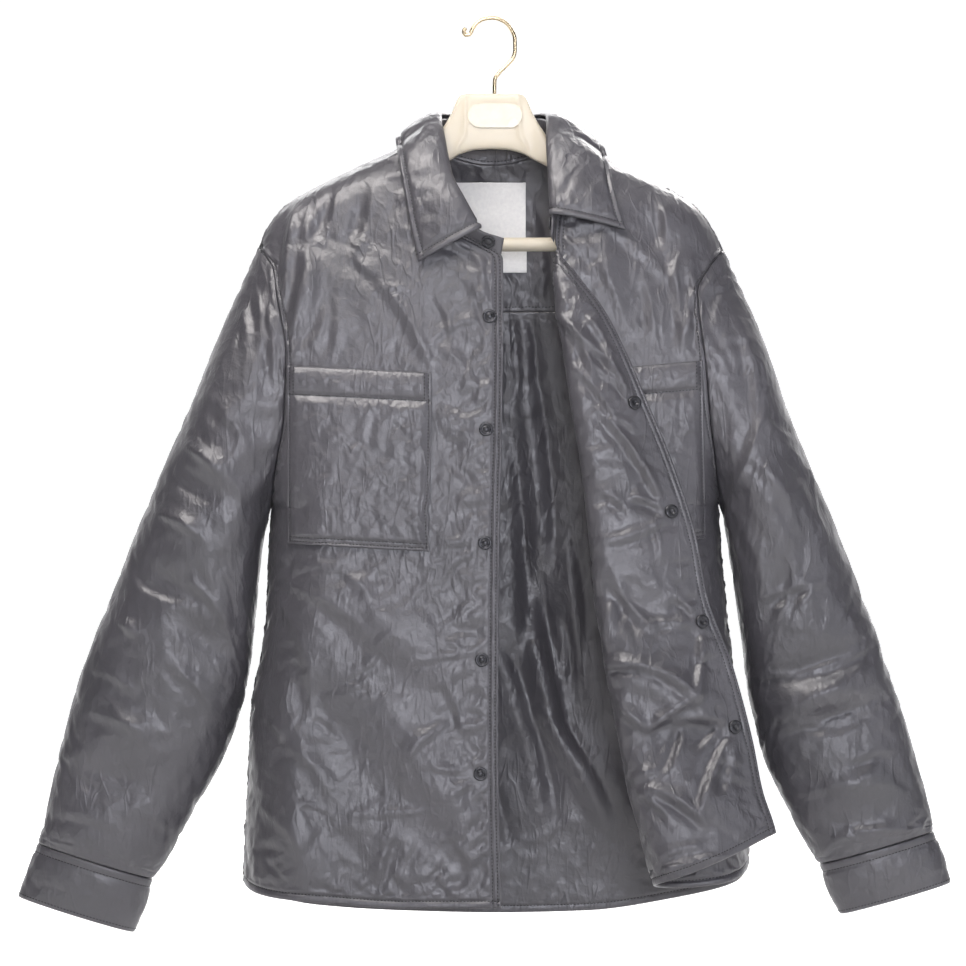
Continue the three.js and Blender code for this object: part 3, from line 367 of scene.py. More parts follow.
def soften(grid, heights, edge, reach=10):
    """Blurs a panel down its columns near the top of a side seam, away from its edges."""
    blurred = grid.copy()
    for _ in range(10):
        blurred[1:-1] = (blurred[:-2] + 2 * blurred[1:-1] + blurred[2:]) / 4
    near = sum(np.exp(-(((grid[..., 2] - height) / reach) ** 2)) for height in heights)
    rows = fade(np.arange(len(grid)) - edge, 4)[:, None]
    columns = fade(np.arange(grid.shape[1]) - 3, 5)[None, :]
    return lerp(grid, blurred, (np.minimum(near, 1) * rows * columns)[..., None])


SHOULDER_PUFF = 1.0


def shoulder_cap(points):
    """The height that a panel may reach beyond the neck: just over the shoulder line."""
    x = points[..., 0]
    out = np.abs(x)
    line = np.where(x < 0, right.shoulder(out), left.shoulder(out))
    return np.where(out > NECK_HALF_WIDTH + 1, line + SHOULDER_PUFF, np.inf)



def constant(shares):
    return [lambda across, s=s: s for s in shares]


def back_top(x):
    out = np.abs(x)
    neck = NECK_TOP - BACK_NECK_DROP * (1 - (out / NECK_HALF_WIDTH) ** 2)
    return np.where(out < NECK_HALF_WIDTH, neck, np.where(x < 0, right.shoulder(out), left.shoulder(out)))


def yoke_seam(across):
    at_side = lerp(
        lerp(right.top, right.hem, YOKE_SHARE), lerp(left.top, left.hem, YOKE_SHARE), across
    )
    return lerp(at_side, YOKE_SEAM, fade(np.minimum(across, 1 - across), 0.1))


def yoke_share(even):
    return lambda across: even ** (1 + 0.3 * np.minimum(1, 6 * np.minimum(across, 1 - across)))


# Noise, creases and puckers
def noise(x, y, size, seed):
    """Smooth noise between about -1 and 1, with features of a given size."""
    random = np.random.RandomState(seed)
    angles = random.uniform(0, 2 * math.pi, (64, 64))
    x, y = np.asarray(x) / size, np.asarray(y) / size
    column, row = np.floor(x).astype(int), np.floor(y).astype(int)
    fx, fy = x - column, y - row

    def corner(dx, dy):
        angle = angles[(row + dy) % 64, (column + dx) % 64]
        return np.cos(angle) * (fx - dx) + np.sin(angle) * (fy - dy)

    sx, sy = fx**3 * (fx * (fx * 6 - 15) + 10), fy**3 * (fy * (fy * 6 - 15) + 10)
    top = lerp(corner(0, 0), corner(1, 0), sx)
    low = lerp(corner(0, 1), corner(1, 1), sx)
    return 1.5 * lerp(top, low, sy)


def crumple(u, v, seed, size=46.0):
    """Flat facets parted by sharp little ridges, as thin nylon over padding takes them."""
    bend_u = 16 * noise(u, v, 55, seed + 1) + 5 * noise(u, v, 19, seed + 3)
    bend_v = 16 * noise(u, v, 55, seed + 2) + 5 * noise(u, v, 19, seed + 4)
    total = np.zeros(np.shape(u))
    for k, (scale, height) in enumerate(((1.0, 0.8), (0.55, 0.6), (0.3, 0.6), (0.18, 0.5))):
        field = noise(u + bend_u, 0.8 * (v + bend_v), size * scale, seed + 10 + k)
        patch = np.clip(0.75 + 0.9 * noise(u, v, 80, seed + 20 + k), 0.15, 1.5)
        sign = -1 if k == 1 else 1
        total += sign * height * (0.3 - np.abs(field)) * patch
    return total


def puckers(t, s, seed, pitch=9.0, height=1.1, reach=16.0):
    """Small pleats that start at a stitched line: t runs along it and s away from it."""
    random = np.random.RandomState(seed)
    total = np.zeros(np.shape(t))
    start, stop = float(np.min(t)), float(np.max(t))
    s = np.maximum(s, 0)
    near = 1 - np.exp(-s / 2.2)
    for place in np.arange(start, stop, pitch):
        at = place + random.uniform(0, pitch)
        size = height * random.uniform(0.25, 1.25)
        length = reach * (0.35 + 1.3 * random.uniform() ** 2)
        slant = random.normal(0, 0.35)
        width = pitch * random.uniform(0.2, 0.38)
        off = (t - at - slant * s) / (width * (1 + 0.5 * s / length))
        total += size * np.exp(-off**2) * np.exp(-((s / length) ** 1.5))
    return (total - 0.45 * height * np.exp(-s / reach)) * near


def crease_shift(creases, x, z):
    """Sharp creases, one by one: a ridge with a trough along one of its sides."""
    shift = np.zeros(np.shape(x))
    for crease in creases:
        along_x, along_z = crease["x2"] - crease["x1"], crease["z2"] - crease["z1"]
        length = math.hypot(along_x, along_z)
        ux, uz = along_x / length, along_z / length
        dx, dz = x - crease["x1"], z - crease["z1"]
        share = (dx * ux + dz * uz) / length
        bow = crease["bow"] * 4 * share * (1 - share)
        off = (-dx * uz + dz * ux) - bow
        ends = np.where((share > -0.3) & (share < 1.3), 1, 0) * np.exp(-((2 * share - 1) ** 4) * 1.2)
        ridge = np.exp(-np.abs(off / crease["width"]) ** 1.15)
        trough = np.exp(-(((off + 1.5 * crease["width"]) / crease["width"]) ** 2))
        shift += crease["height"] * ends * (ridge - 0.6 * trough)
    return shift


# A sheet of cloth: a middle layer with a rise and a thickness at every point
class Cloth:
    def __init__(self, grid, facing, wall=WALL, around=False):
        self.grid = grid
        self.around = around
        self.wall = wall
        self.facing = facing
        self.normals = self.find_normals(grid) * facing
        closed = np.concatenate([grid, grid[:, :1]], axis=1) if around else grid
        across = np.linalg.norm(np.diff(closed, axis=1), axis=-1)
        total = np.cumsum(across, axis=1)
        self.girth = total[:, -1]
        self.u = np.concatenate([np.zeros((len(grid), 1)), total], axis=1)[:, :grid.shape[1]]
        down = np.cumsum(np.linalg.norm(np.diff(grid, axis=0), axis=-1), axis=0)
        self.v = np.concatenate([np.zeros((1, grid.shape[1])), down])
        self.from_left = self.u
        self.from_right = self.girth[:, None] - self.u
        self.from_top = self.v
        self.from_bottom = self.v[-1:] - self.v
        self.rise = np.zeros(self.u.shape)
        self.thick = np.ones(self.u.shape)
        self.turns = []
        self.ceiling = None

    def borders(self):
        return self.from_left, self.from_right, self.from_top, self.from_bottom

    def find_normals(self, grid):
        if self.around:
            across = np.roll(grid, -1, axis=1) - np.roll(grid, 1, axis=1)
        else:
            across = np.gradient(grid, axis=1)
        return unit(np.cross(np.gradient(grid, axis=0), across))

    def turn_normals(self, wanted, distance):
        """Near a seam the wall stands square to it."""
        self.turns.append((wanted, distance))
        weight = (1 - fade(distance, SEAM_TURN))[..., None]
        self.normals = unit(lerp(self.normals, wanted, weight))

    def move(self, shift):
        self.grid = self.grid + shift
        self.normals = self.find_normals(self.grid) * self.facing
        turns, self.turns = self.turns, []
        for wanted, distance in turns:
            self.turn_normals(wanted, distance)

    def round_edge(self, distance, round_over=2.4, least=0.3):
        share = np.clip(distance / round_over, 0, 1)
        self.thick *= least + (1 - least) * np.sqrt(1 - (1 - share) ** 2)

    def stitch_dip(self, distance, at, depth=0.6, width=1.5, sink=0.5):
        """A stitched line presses both faces in, and the cloth puffs up beside it."""
        near = np.exp(-(((distance - at) / width) ** 2))
        self.thick *= 1 - depth * near
        self.rise -= sink * near

    def faces(self):
        """The outer and the inner face."""
        half = 0.5 * self.wall * self.thick
        middle = self.rise - 0.5 * self.wall
        self.outer = self.grid + self.normals * (middle + half)[..., None]
        self.inner = self.grid + self.normals * (middle - half)[..., None]
        if self.ceiling is not None:
            for face in (self.outer, self.inner):
                face[..., 2] = np.minimum(face[..., 2], self.ceiling(face))
        return self.outer, self.inner


def sample(grid, v, u):
    """Points of a grid at fractional rows and columns."""
    rows, columns = grid.shape[:2]
    v = np.clip(v, 0, rows - 1.001)
    u = np.clip(u, 0, columns - 1.001)
    i, j = v.astype(int), u.astype(int)
    fv, fu = (v - i)[:, None], (u - j)[:, None]
    top = lerp(grid[i, j], grid[i, j + 1], fu)
    low = lerp(grid[i + 1, j], grid[i + 1, j + 1], fu)
    return lerp(top, low, fv)


# Meshes
def mesh_object(name, verts, faces, smooth=True):
    """An object in the scene, from points in metres."""
    mesh = bpy.data.meshes.new(name)
    mesh.from_pydata(np.asarray(verts).tolist(), [], faces)
    mesh.polygons.foreach_set("use_smooth", [smooth] * len(mesh.polygons))
    mesh.update()
    obj = bpy.data.objects.new(name, mesh)
    bpy.context.scene.collection.objects.link(obj)
    return obj


def link(name, verts, faces, uvs=None, smooth=True):
    """The same from points and flat places in millimetres."""
    obj = mesh_object(name, np.asarray(verts) * MM, np.asarray(faces).tolist(), smooth)
    if uvs is not None:
        layer = obj.data.uv_layers.new(name="cloth")
        loops = np.empty(len(obj.data.loops), dtype=np.int64)
        obj.data.loops.foreach_get("vertex_index", loops)
        layer.data.foreach_set("uv", (np.asarray(uvs)[loops] * MM).ravel())
    return obj


def sheet_object(name, cloth):
    outer, inner = cloth.faces()
    rows, columns = outer.shape[:2]
    index = np.arange(rows * columns).reshape(rows, columns)
    if cloth.around:
        index = np.concatenate([index, index[:, :1]], axis=1)
    a, b, c, d = index[:-1, :-1], index[1:, :-1], index[1:, 1:], index[:-1, 1:]
    front = np.stack([a, b, c, d], axis=-1).reshape(-1, 4)
    shift = rows * columns
    behind = front[:, ::-1] + shift
    rims = []
    for line, flip in ((index[0], False), (index[-1], True)):
        quads = np.stack([line[:-1], line[1:], line[1:] + shift, line[:-1] + shift], axis=-1)
        rims.append(quads[:, ::-1] if flip else quads)
    if not cloth.around:
        for line, flip in ((index[:, 0], True), (index[:, -1], False)):
            quads = np.stack([line[:-1], line[1:], line[1:] + shift, line[:-1] + shift], axis=-1)
            rims.append(quads[:, ::-1] if flip else quads)
    faces = np.concatenate([front, behind] + rims)
    if cloth.facing < 0:
        faces = faces[:, ::-1]
    verts = np.concatenate([outer.reshape(-1, 3), inner.reshape(-1, 3)])
    flat = np.stack([cloth.u, cloth.v], axis=-1).reshape(-1, 2)
    return link(name, verts, faces, np.concatenate([flat, flat]))


def trace(field, level, down_rows):
    """Where a field crosses a level: one place per row, or one per column."""
    work = (field if down_rows else field.T) - level
    change = work[:, :-1] * work[:, 1:] <= 0
    found = change.any(axis=1)
    first = change.argmax(axis=1)
    lines = np.nonzero(found)[0]
    i = first[lines]
    low, high = work[lines, i], work[lines, i + 1]
    place = i + low / np.where(np.abs(low - high) > 1e-9, low - high, 1)
    if down_rows:
        return lines.astype(float), place
    return place, lines.astype(float)


STITCH_PITCH = 3.4
STITCH_LENGTH = 2.5
STITCH_WIDTH = 1.0


class Thread:
    """Stitches gathered for one piece: a short raised bar for each."""

    def __init__(self):
        self.verts, self.faces, self.count = [], [], 0

    def run(self, points, normals):
        step = np.linalg.norm(np.diff(points, axis=0), axis=1)
        length = np.concatenate([[0], np.cumsum(step)])
        if length[-1] < 2 * STITCH_PITCH:
            return
        middles = np.arange(STITCH_PITCH, length[-1] - STITCH_PITCH / 2, STITCH_PITCH)
        pick = lambda data, at: np.stack([np.interp(at, length, data[:, k]) for k in range(3)], axis=-1)
        centre, normal = pick(points, middles), unit(pick(normals, middles))
        ahead = pick(points, middles + STITCH_LENGTH / 2) - pick(points, middles - STITCH_LENGTH / 2)
        forward = unit(ahead - normal * (ahead * normal).sum(axis=1, keepdims=True))
        side = np.cross(normal, forward)
        rings = []
        for at, wide, high in ((-0.5, 0.45, -0.12), (0, 1, 0.3), (0.5, 0.45, -0.12)):
            base = centre + forward * (at * STITCH_LENGTH) + normal * high
            for across, up in ((-0.5, 0), (0, 0.28), (0.5, 0), (0, -0.3)):
                rings.append(base + side * (across * wide * STITCH_WIDTH) + normal * up)
        verts = np.stack(rings, axis=1)
        quads = [(3, 2, 1, 0), (8, 9, 10, 11)]
        for ring in (0, 4):
            quads += [(ring + k, ring + (k + 1) % 4, ring + 4 + (k + 1) % 4, ring + 4 + k) for k in range(4)]
        start = self.count + 12 * np.arange(len(middles))
        self.faces.append((start[:, None, None] + np.array(quads)[None]).reshape(-1, 4))
        self.verts.append(verts.reshape(-1, 3))
        self.count += 12 * len(middles)

    def follow(self, cloth, field, level, down_rows, keep=None, inner=False):
        """A row of stitches where a field has a level, on the outer or the inner face."""
        v, u = trace(field, level, down_rows)
        if keep is not None:
            inside = keep(v / (field.shape[0] - 1), u / (field.shape[1] - 1))
            v, u = v[inside], u[inside]
        if len(v) < 3:
            return
        face = cloth.inner if inner else cloth.outer
        normal = sample(cloth.normals, v, u) * (-1 if inner else 1)
        self.run(sample(face, v, u), normal)

    def make(self, name):
        return link(name, np.concatenate(self.verts), np.concatenate(self.faces), smooth=False)


def stretch(values, picked, count, around=False):
    """Values at some rows spread to all rows by a smooth curve."""
    if around:
        picked = np.concatenate([[picked[-1] - count], picked, [count, count + picked[1]]])
        values = np.concatenate([values[-1:], values, values[:2]])
    at = np.arange(count)
    i = np.clip(np.searchsorted(picked, at, side="right") - 1, 0, len(picked) - 2)
    t = ((at - picked[i]) / (picked[i + 1] - picked[i]))[:, None, None]
    before, after = values[np.maximum(i - 1, 0)], values[np.minimum(i + 2, len(picked) - 1)]
    low, high = values[i], values[i + 1]
    return low + 0.5 * t * (high - before + t * (
        2 * before - 5 * low + 4 * high - after + t * (3 * (low - high) + after - before)))


SIM_SCALE = 0.01            # the simulation runs at ten times real size
SIM_FRAMES = 16
SIM_CAP = 2.4               # farthest that the buckling moves a point
HELD_LEVELS = 10
HELD_LEAST = 0.12           # pull towards the start where a piece is free
HELD_STEP = 0.088


def billow(cloth, seed, hold, gain, grow=0.028, cap=SIM_CAP, every=1):
    """Cloth simulation of one piece: it grows a little inside its sewn border and buckles."""
    rows, columns = cloth.grid.shape[:2]
    pick_v = np.unique(np.concatenate([np.arange(0, rows, every), [rows - 1]]))
    pick_u = np.arange(0, columns, every)
    if not cloth.around:
        pick_u = np.unique(np.concatenate([pick_u, [columns - 1]]))
    base = cloth.grid[np.ix_(pick_v, pick_u)]
    normals = cloth.normals[np.ix_(pick_v, pick_u)]
    free = hold[np.ix_(pick_v, pick_u)]
    start = base + normals * (0.5 * noise(
        cloth.u[np.ix_(pick_v, pick_u)], cloth.v[np.ix_(pick_v, pick_u)], 16, seed) * free)[..., None]
    index = np.arange(base.shape[0] * base.shape[1]).reshape(base.shape[:2])
    if cloth.around:
        index = np.concatenate([index, index[:, :1]], axis=1)
    faces = np.stack([index[:-1, :-1], index[1:, :-1], index[1:, 1:], index[:-1, 1:]], axis=-1)
    obj = mesh_object("simulated", start.reshape(-1, 3) * SIM_SCALE, faces.reshape(-1, 4).tolist(), False)
    group = obj.vertex_groups.new(name="held")
    for level in range(HELD_LEVELS + 1):
        chosen = np.nonzero(np.round(HELD_LEVELS * (1 - free.ravel())) == level)[0]
        if len(chosen):
            group.add(chosen.tolist(), HELD_LEAST + HELD_STEP * level, "REPLACE")
    cloth_settings = obj.modifiers.new("buckle", "CLOTH").settings
    cloth_settings.quality = 5
    cloth_settings.mass = 0.4
    cloth_settings.air_damping = 2
    cloth_settings.tension_stiffness = 20
    cloth_settings.compression_stiffness = 20
    cloth_settings.shear_stiffness = 8
    cloth_settings.bending_stiffness = 0.01
    cloth_settings.shrink_min = -grow
    cloth_settings.vertex_group_mass = "held"
    cloth_settings.pin_stiffness = 1
    cloth_settings.effector_weights.gravity = 0
    scene = bpy.context.scene
    for number in range(1, SIM_FRAMES + 1):
        scene.frame_set(number)
    done = obj.evaluated_get(bpy.context.evaluated_depsgraph_get()).to_mesh()
    moved = np.empty(3 * len(done.vertices))
    done.vertices.foreach_get("co", moved)
    scene.frame_set(1)
    bpy.data.objects.remove(obj)
    shift = moved.reshape(base.shape) / SIM_SCALE - base
    size = np.linalg.norm(shift, axis=-1, keepdims=True)
    shift *= cap * np.tanh(size / cap) / np.maximum(size, 1e-6)
    shift = stretch(shift, pick_v, rows)
    shift = stretch(shift.transpose(1, 0, 2), pick_u, columns, cloth.around).transpose(1, 0, 2)
    cloth.move(shift * (gain * fade(hold, 0.4))[..., None])


# Fine creases, listed one by one at the places of the front view where the garment has them
CREASES_RIGHT = table(
    CREASE,
    (-153, -175, -171, -224, 5, 3.4, 3), (-118, -168, -137, -239, 7, 3.2, 4),
    (-194, -186, -204, -272, 6, 5.2, -3), (-181, -240, -198, -346, 6, 4.2, -4),
    (-183, -197, -190, -250, 5, 2.6, 2), (-88, -172, -96, -214, 6, 1.6, 2),
    (-136, -240, -122, -216, 4, 2.0, 2), (-136, -241, -112, -256, 5, 1.8, -2),
    (-118, -274, -86, -268, 3, 1.6, 1), (-112, -262, -62, -345, 7, 2.6, 5),
    (-165, -290, -182, -330, 6, 2.8, 4), (-152, -286, -158, -340, 5, 1.8, 2),
    (-54, -280, -40, -322, 4, 1.6, 3), (-58, -320, -16, -300, 3, 1.8, 2),
    (-52, -330, -30, -346, 4, 1.6, 2), (-48, -420, -16, -412, 3, 1.8, 1),
    (-44, -390, -18, -404, 3, 1.5, -1), (-50, -524, -18, -522, 3, 1.8, 1),
    (-46, -552, -18, -530, 3, 1.7, 1), (-40, -596, -18, -580, 3, 1.5, 1),
    (-76, -640, -20, -632, 3, 2.2, 2), (-46, -618, -17, -631, 3, 1.6, -1),
    (-44, -664, -29, -716, 5, 2.4, 4), (-86, -738, -46, -698, 5, 2.2, 4),
    (-64, -743, -21, -750, 3, 2.2, 1), (-46, -774, -19, -755, 3, 1.8, -1),
    (-32, -720, -16, -743, 3, 1.5, 1), (-190, -568, -122, -612, 7, 2.8, 6),
    (-152, -548, -116, -582, 6, 2.2, 4), (-199, -590, -178, -692, 7, 2.6, 6),
    (-120, -640, -98, -610, 5, 2.0, 3), (-172, -663, -92, -664, 2.5, 1.1, 0),
    (-162, -731, -90, -731, 2.5, 1.1, 0), (-142, -791, -46, -785, 2.5, 1.3, 0),
    (-176, -690, -150, -712, 4, 1.8, 3), (-220, -698, -206, -712, 4, 3.0, 1),
    (-206, -716, -160, -770, 7, 2.2, 6), (-192, -778, -160, -787, 3, 1.7, 2),
    (-232, -780, -186, -826, 5, 2.0, 4), (-112, -856, -96, -802, 4, 2.2, 2),
    (-90, -852, -82, -822, 3, 1.8, 1), (-56, -850, -34, -872, 3, 2.2, 1),
    (-70, -860, -52, -836, 3, 1.6, 1), (-214, -838, -196, -860, 3, 1.8, 1),
    (-190, -832, -170, -800, 4, 1.6, 2), (-40, -812, -20, -846, 3, 1.6, 2),
)
CREASES_LEFT = table(
    CREASE,
    (168, -186, 172, -222, 5, 2.8, 3), (112, -208, 176, -262, 6, 2.2, 4),
    (196, -244, 190, -322, 6, 3.6, 4), (178, -238, 188, -330, 6, 2.6, 3),
    (92, -226, 130, -300, 5, 2.0, 5), (214, -420, 232, -470, 5, 2.0, 2),
    (200, -262, 206, -336, 4, 2.6, 2), (150, -262, 160, -320, 6, 1.8, 3),
)
CREASES_FLAP = table(
    CREASE,
    (68, -298, 98, -356, 5, 3.4, 6), (86, -318, 134, -378, 4, 3.2, 5),
    (100, -348, 133, -378, 3, 2.0, 2), (84, -352, 122, -402, 4, 2.2, 3),
    (94, -300, 118, -350, 5, 2.6, 4), (124, -400, 140, -412, 3, 1.8, 1),
    (106, -392, 168, -487, 5, 3.2, 5), (136, -476, 168, -489, 4, 2.6, 2),
    (104, -470, 136, -492, 5, 2.0, 3), (158, -504, 164, -532, 3, 2.0, 1),
    (176, -474, 182, -448, 3, 2.0, 1), (112, -520, 168, -498, 5, 2.2, -4),
    (120, -556, 156, -606, 6, 3.0, -4), (178, -574, 201, -594, 3, 2.2, 1),
    (150, -604, 198, -603, 3, 2.4, 2), (204, -606, 198, -674, 4, 3.0, 2),
    (112, -642, 152, -643, 4, 4.2, 2), (152, -643, 198, -671, 5, 4.2, 3),
    (118, -668, 153, -704, 5, 3.6, -3), (152, -704, 199, -672, 5, 4.0, 3),
    (156, -698, 240, -700, 6, 2.8, 8), (186, -704, 172, -746, 4, 3.6, 3),
    (233, -712, 202, -788, 5, 4.0, -4), (222, -700, 206, -722, 4, 2.0, 2),
    (138, -764, 172, -788, 5, 4.0, 4), (150, -760, 206, -792, 5, 4.2, 5),
    (138, -756, 158, -744, 4, 2.4, 2), (158, -846, 232, -826, 5, 2.6, 4),
    (152, -816, 192, -850, 5, 2.2, -3), (160, -830, 200, -816, 4, 2.0, 3),
    (236, -716, 226, -770, 5, 2.4, 2), (114, -620, 122, -576, 5, 2.2, 3),
)
CREASES_BACK = table(
    CREASE,
    (40, -330, 62, -560, 10, 5.0, 8), (52, -560, 92, -740, 10, 6.0, -8),
    (62, -690, 128, -806, 9, 6.4, 6), (22, -420, 34, -640, 9, 4.0, 6),
    (12, -620, 66, -812, 10, 4.6, 8), (100, -420, 112, -560, 10, 4.0, 6),
    (84, -520, 96, -640, 7, 4.0, 4), (74, -600, 80, -668, 5, 3.6, 3),
    (36, -296, 46, -360, 6, 3.0, 3), (20, -300, 24, -380, 6, 2.4, 3),
    (-60, -360, -84, -620, 10, 3.4, 8), (-120, -430, -96, -700, 10, 3.0, -8),
    (-180, -520, -150, -790, 9, 3.0, 8), (160, -380, 150, -560, 9, 3.0, 5),
    (-30, -700, 20, -840, 8, 3.4, 6), (200, -560, 196, -760, 8, 2.8, 5),
)
CREASES_YOKE = table(
    CREASE,
    (44, -180, 60, -262, 5, 2.6, 4), (-44, -190, -58, -262, 5, 2.2, -4),
    (120, -200, 150, -262, 6, 2.2, 4), (-120, -200, -146, -262, 6, 2.2, -4), (26, -268, 52, -284, 3, 1.4, 2),
)
CREASES_SLEEVE_RIGHT = table(
    CREASE,
    (-305, -425, -268, -455, 5, 3.4, 3), (-313, -451, -276, -473, 5, 3.0, -3),
    (-330, -493, -290, -514, 5, 3.2, 3), (-345, -555, -302, -571, 5, 3.0, -3),
    (-371, -599, -352, -616, 5, 2.6, 2), (-300, -560, -258, -610, 6, 2.4, 5),
    (-290, -372, -246, -420, 6, 2.2, 4), (-262, -262, -240, -330, 6, 2.2, 4),
    (-322, -640, -276, -690, 6, 2.2, 5), (-400, -690, -340, -714, 6, 2.2, 4),
    (-410, -752, -350, -764, 6, 2.4, -4), (-392, -648, -352, -672, 5, 2.0, 3),
    (-430, -790, -372, -806, 5, 2.0, 3), (-350, -790, -318, -812, 5, 1.8, 3),
    (-236, -262, -228, -330, 6, 3.6, 3), (-222, -286, -216, -360, 5, 3.0, 2), (-270, -300, -250, -286, 3, 1.6, 1),
)
CREASES_SLEEVE_LEFT = table(
    CREASE,
    (248, -663, 299, -653, 5, 3.2, 4), (299, -653, 380, -622, 5, 3.4, -4),
    (287, -708, 328, -701, 5, 3.0, 3), (328, -701, 385, -681, 5, 3.0, -3),
    (327, -839, 352, -813, 5, 3.0, 5), (352, -812, 421, -809, 5, 2.6, 4),
    (262, -440, 300, -502, 6, 2.6, 5), (300, -540, 280, -600, 6, 2.4, 5),
    (244, -300, 262, -392, 6, 2.6, 5), (320, -440, 296, -476, 5, 2.0, 3),
    (330, -560, 300, -590, 5, 2.0, -3), (350, -740, 402, -728, 5, 2.2, 3),
    (268, -388, 236, -476, 6, 3.4, 4), (300, -770, 340, -762, 5, 2.0, -3),
    (216, -272, 252, -262, 4, 2.4, 2), (232, -320, 258, -322, 3, 2.0, 2), (238, -478, 226, -514, 5, 2.8, 2),
    (290, -424, 342, -498, 6, 3.0, 5), (262, -580, 330, -560, 5, 2.6, 3), (300, -420, 270, -400, 4, 2.0, 2),
)


def mirrored(rows, shift):
    """Similar creases for the hidden side, a little lower."""
    return [dict(row, z1=row["z1"] - shift, z2=row["z2"] - shift, bow=-row["bow"]) for row in rows]


# Fronts
def front_cloth(side, line, hem, top, width, folds):
    columns = shares_of(width, steps=SEWN_STEPS)
    rows = shares_of(side.top - side.hem + 20, steps=SEWN_STEPS)
    grid = panel_grid(line, columns, top, hem, constant(rows), folds, 1, True)
    grid = soften(grid, [side.top], len(SEWN_STEPS))
    cloth = Cloth(grid, -side.sign)
    cloth.ceiling = shoulder_cap
    out = np.abs(grid[:1, :, 0])
    fall = (side.shoulder(out - 1) - side.shoulder(out + 1)) / 2
    shoulder = unit(np.stack([side.sign * fall, 0 * fall, 1 + 0 * fall], axis=-1))
    cloth.turn_normals(shoulder, cloth.from_top)
    cloth.turn_normals(side.wall_normal(grid[:, :1, 2], 1), cloth.from_left)
    return cloth


front_right = front_cloth(
    right, front_right_line, curve_of(HEM_FRONT_RIGHT, "u", "z"),
    lambda x, across: right.shoulder(np.abs(x)), 265, FOLDS_FRONT_RIGHT,
)
front_left = front_cloth(
    left, front_left_line, curve_of(HEM_FRONT_LEFT, "u", "z"),
    lambda x, across: np.where(across == 1, NECK_TOP, left.shoulder(np.abs(x))), 300, FOLDS_FRONT_LEFT,
)


def back_cloth(shares, top, bottom, folds, flat_top):
    grid = panel_grid(back_line, shares_of(500), top, bottom, shares, folds, -1, flat_top)
    cloth = Cloth(grid, -1)
    for side, distance, column in ((right, cloth.from_left, 0), (left, cloth.from_right, -1)):
        z = grid[:, column:column + 1 or None, 2]
        cloth.turn_normals(side.wall_normal(z, -1), distance)
    return cloth


yoke = back_cloth(
    [yoke_share(s) for s in shares_of(170)], lambda x, across: back_top(x), yoke_seam, FOLDS_BACK, True
)
x_top = yoke.grid[:1, :, 0]
fall = np.where(
    x_top < 0,
    right.shoulder(np.abs(x_top) - 1) - right.shoulder(np.abs(x_top) + 1),
    left.shoulder(np.abs(x_top) - 1) - left.shoulder(np.abs(x_top) + 1),
) / 2
over_shoulder = unit(np.stack([np.sign(x_top) * fall, 0 * fall, 1 + 0 * fall], axis=-1))
beyond_neck = np.where(np.abs(yoke.grid[..., 0]) > NECK_HALF_WIDTH - 1, yoke.from_top, 1e3)
yoke.turn_normals(over_shoulder, beyond_neck)
yoke.ceiling = shoulder_cap
back = back_cloth(
    constant(shares_of(605, steps=SEWN_STEPS)), lambda x, across: yoke_seam(across),
    curve_of(HEM_BACK, "u", "z"), FOLDS_BACK, False
)

# Sleeves and cuffs: rings between an outer and an inner point, each with its depth
SLEEVE_RIGHT = table(
    RING,
    (-233, -227, -220, -488, 50), (-253, -270, -226, -503, 55), (-279, -330, -231, -527, 60),
    (-303, -390, -234, -560, 61), (-329, -450, -237, -596, 59), (-354, -510, -241, -634, 56),
    (-377, -570, -247, -670, 53), (-402, -630, -256, -702, 50), (-421, -690, -272, -742, 46),
    (-436, -750, -299, -790, 42), (-449, -806, -325, -838, 37), (-454, -822, -339, -858, 32),
)
SLEEVE_LEFT = table(
    RING,
    (231, -230, 226, -483, 50), (250, -270, 232, -499, 55), (275, -330, 237, -524, 60),
    (295, -390, 241, -556, 61), (320, -450, 246, -592, 59), (344, -510, 251, -630, 56),
    (367, -570, 256, -668, 53), (389, -630, 263, -703, 50), (409, -690, 275, -743, 46),
    (427, -750, 296, -788, 42), (438, -792, 317, -828, 37), (441, -810, 327, -843, 32),
)
CUFF_RIGHT = table(
    RING,
    (-454.2, -822.7, -339.2, -858.7, 32), (-465, -850, -346, -885, 30), (-474, -876, -358, -912, 26),
)
CUFF_LEFT = table(
    RING,
    (441.2, -810.7, 327.2, -843.7, 32), (452, -836, 335, -869, 30), (459, -862, 348, -894, 26),
)
SLEEVE_COUNT = 18           # rings of the CAD sleeve, which the blend below counts in
BLEND_RINGS = 3


def resampled(rows, shares):
    keyed = [dict(row, key=i / (len(rows) - 1)) for i, row in enumerate(rows)]
    return {column: curve_of(keyed, "key", column)(shares)[:, None] for column in rows[0]}


def ring_points(rings, angle):
    share = (1 + np.cos(angle)) / 2
    across = np.sin(angle)
    return np.stack([
        lerp(rings["inner_x"], rings["outer_x"], share),
        -rings["depth"] * np.sign(across) * np.abs(across) ** 0.85,
        lerp(rings["inner_z"], rings["outer_z"], share),
    ], axis=-1)


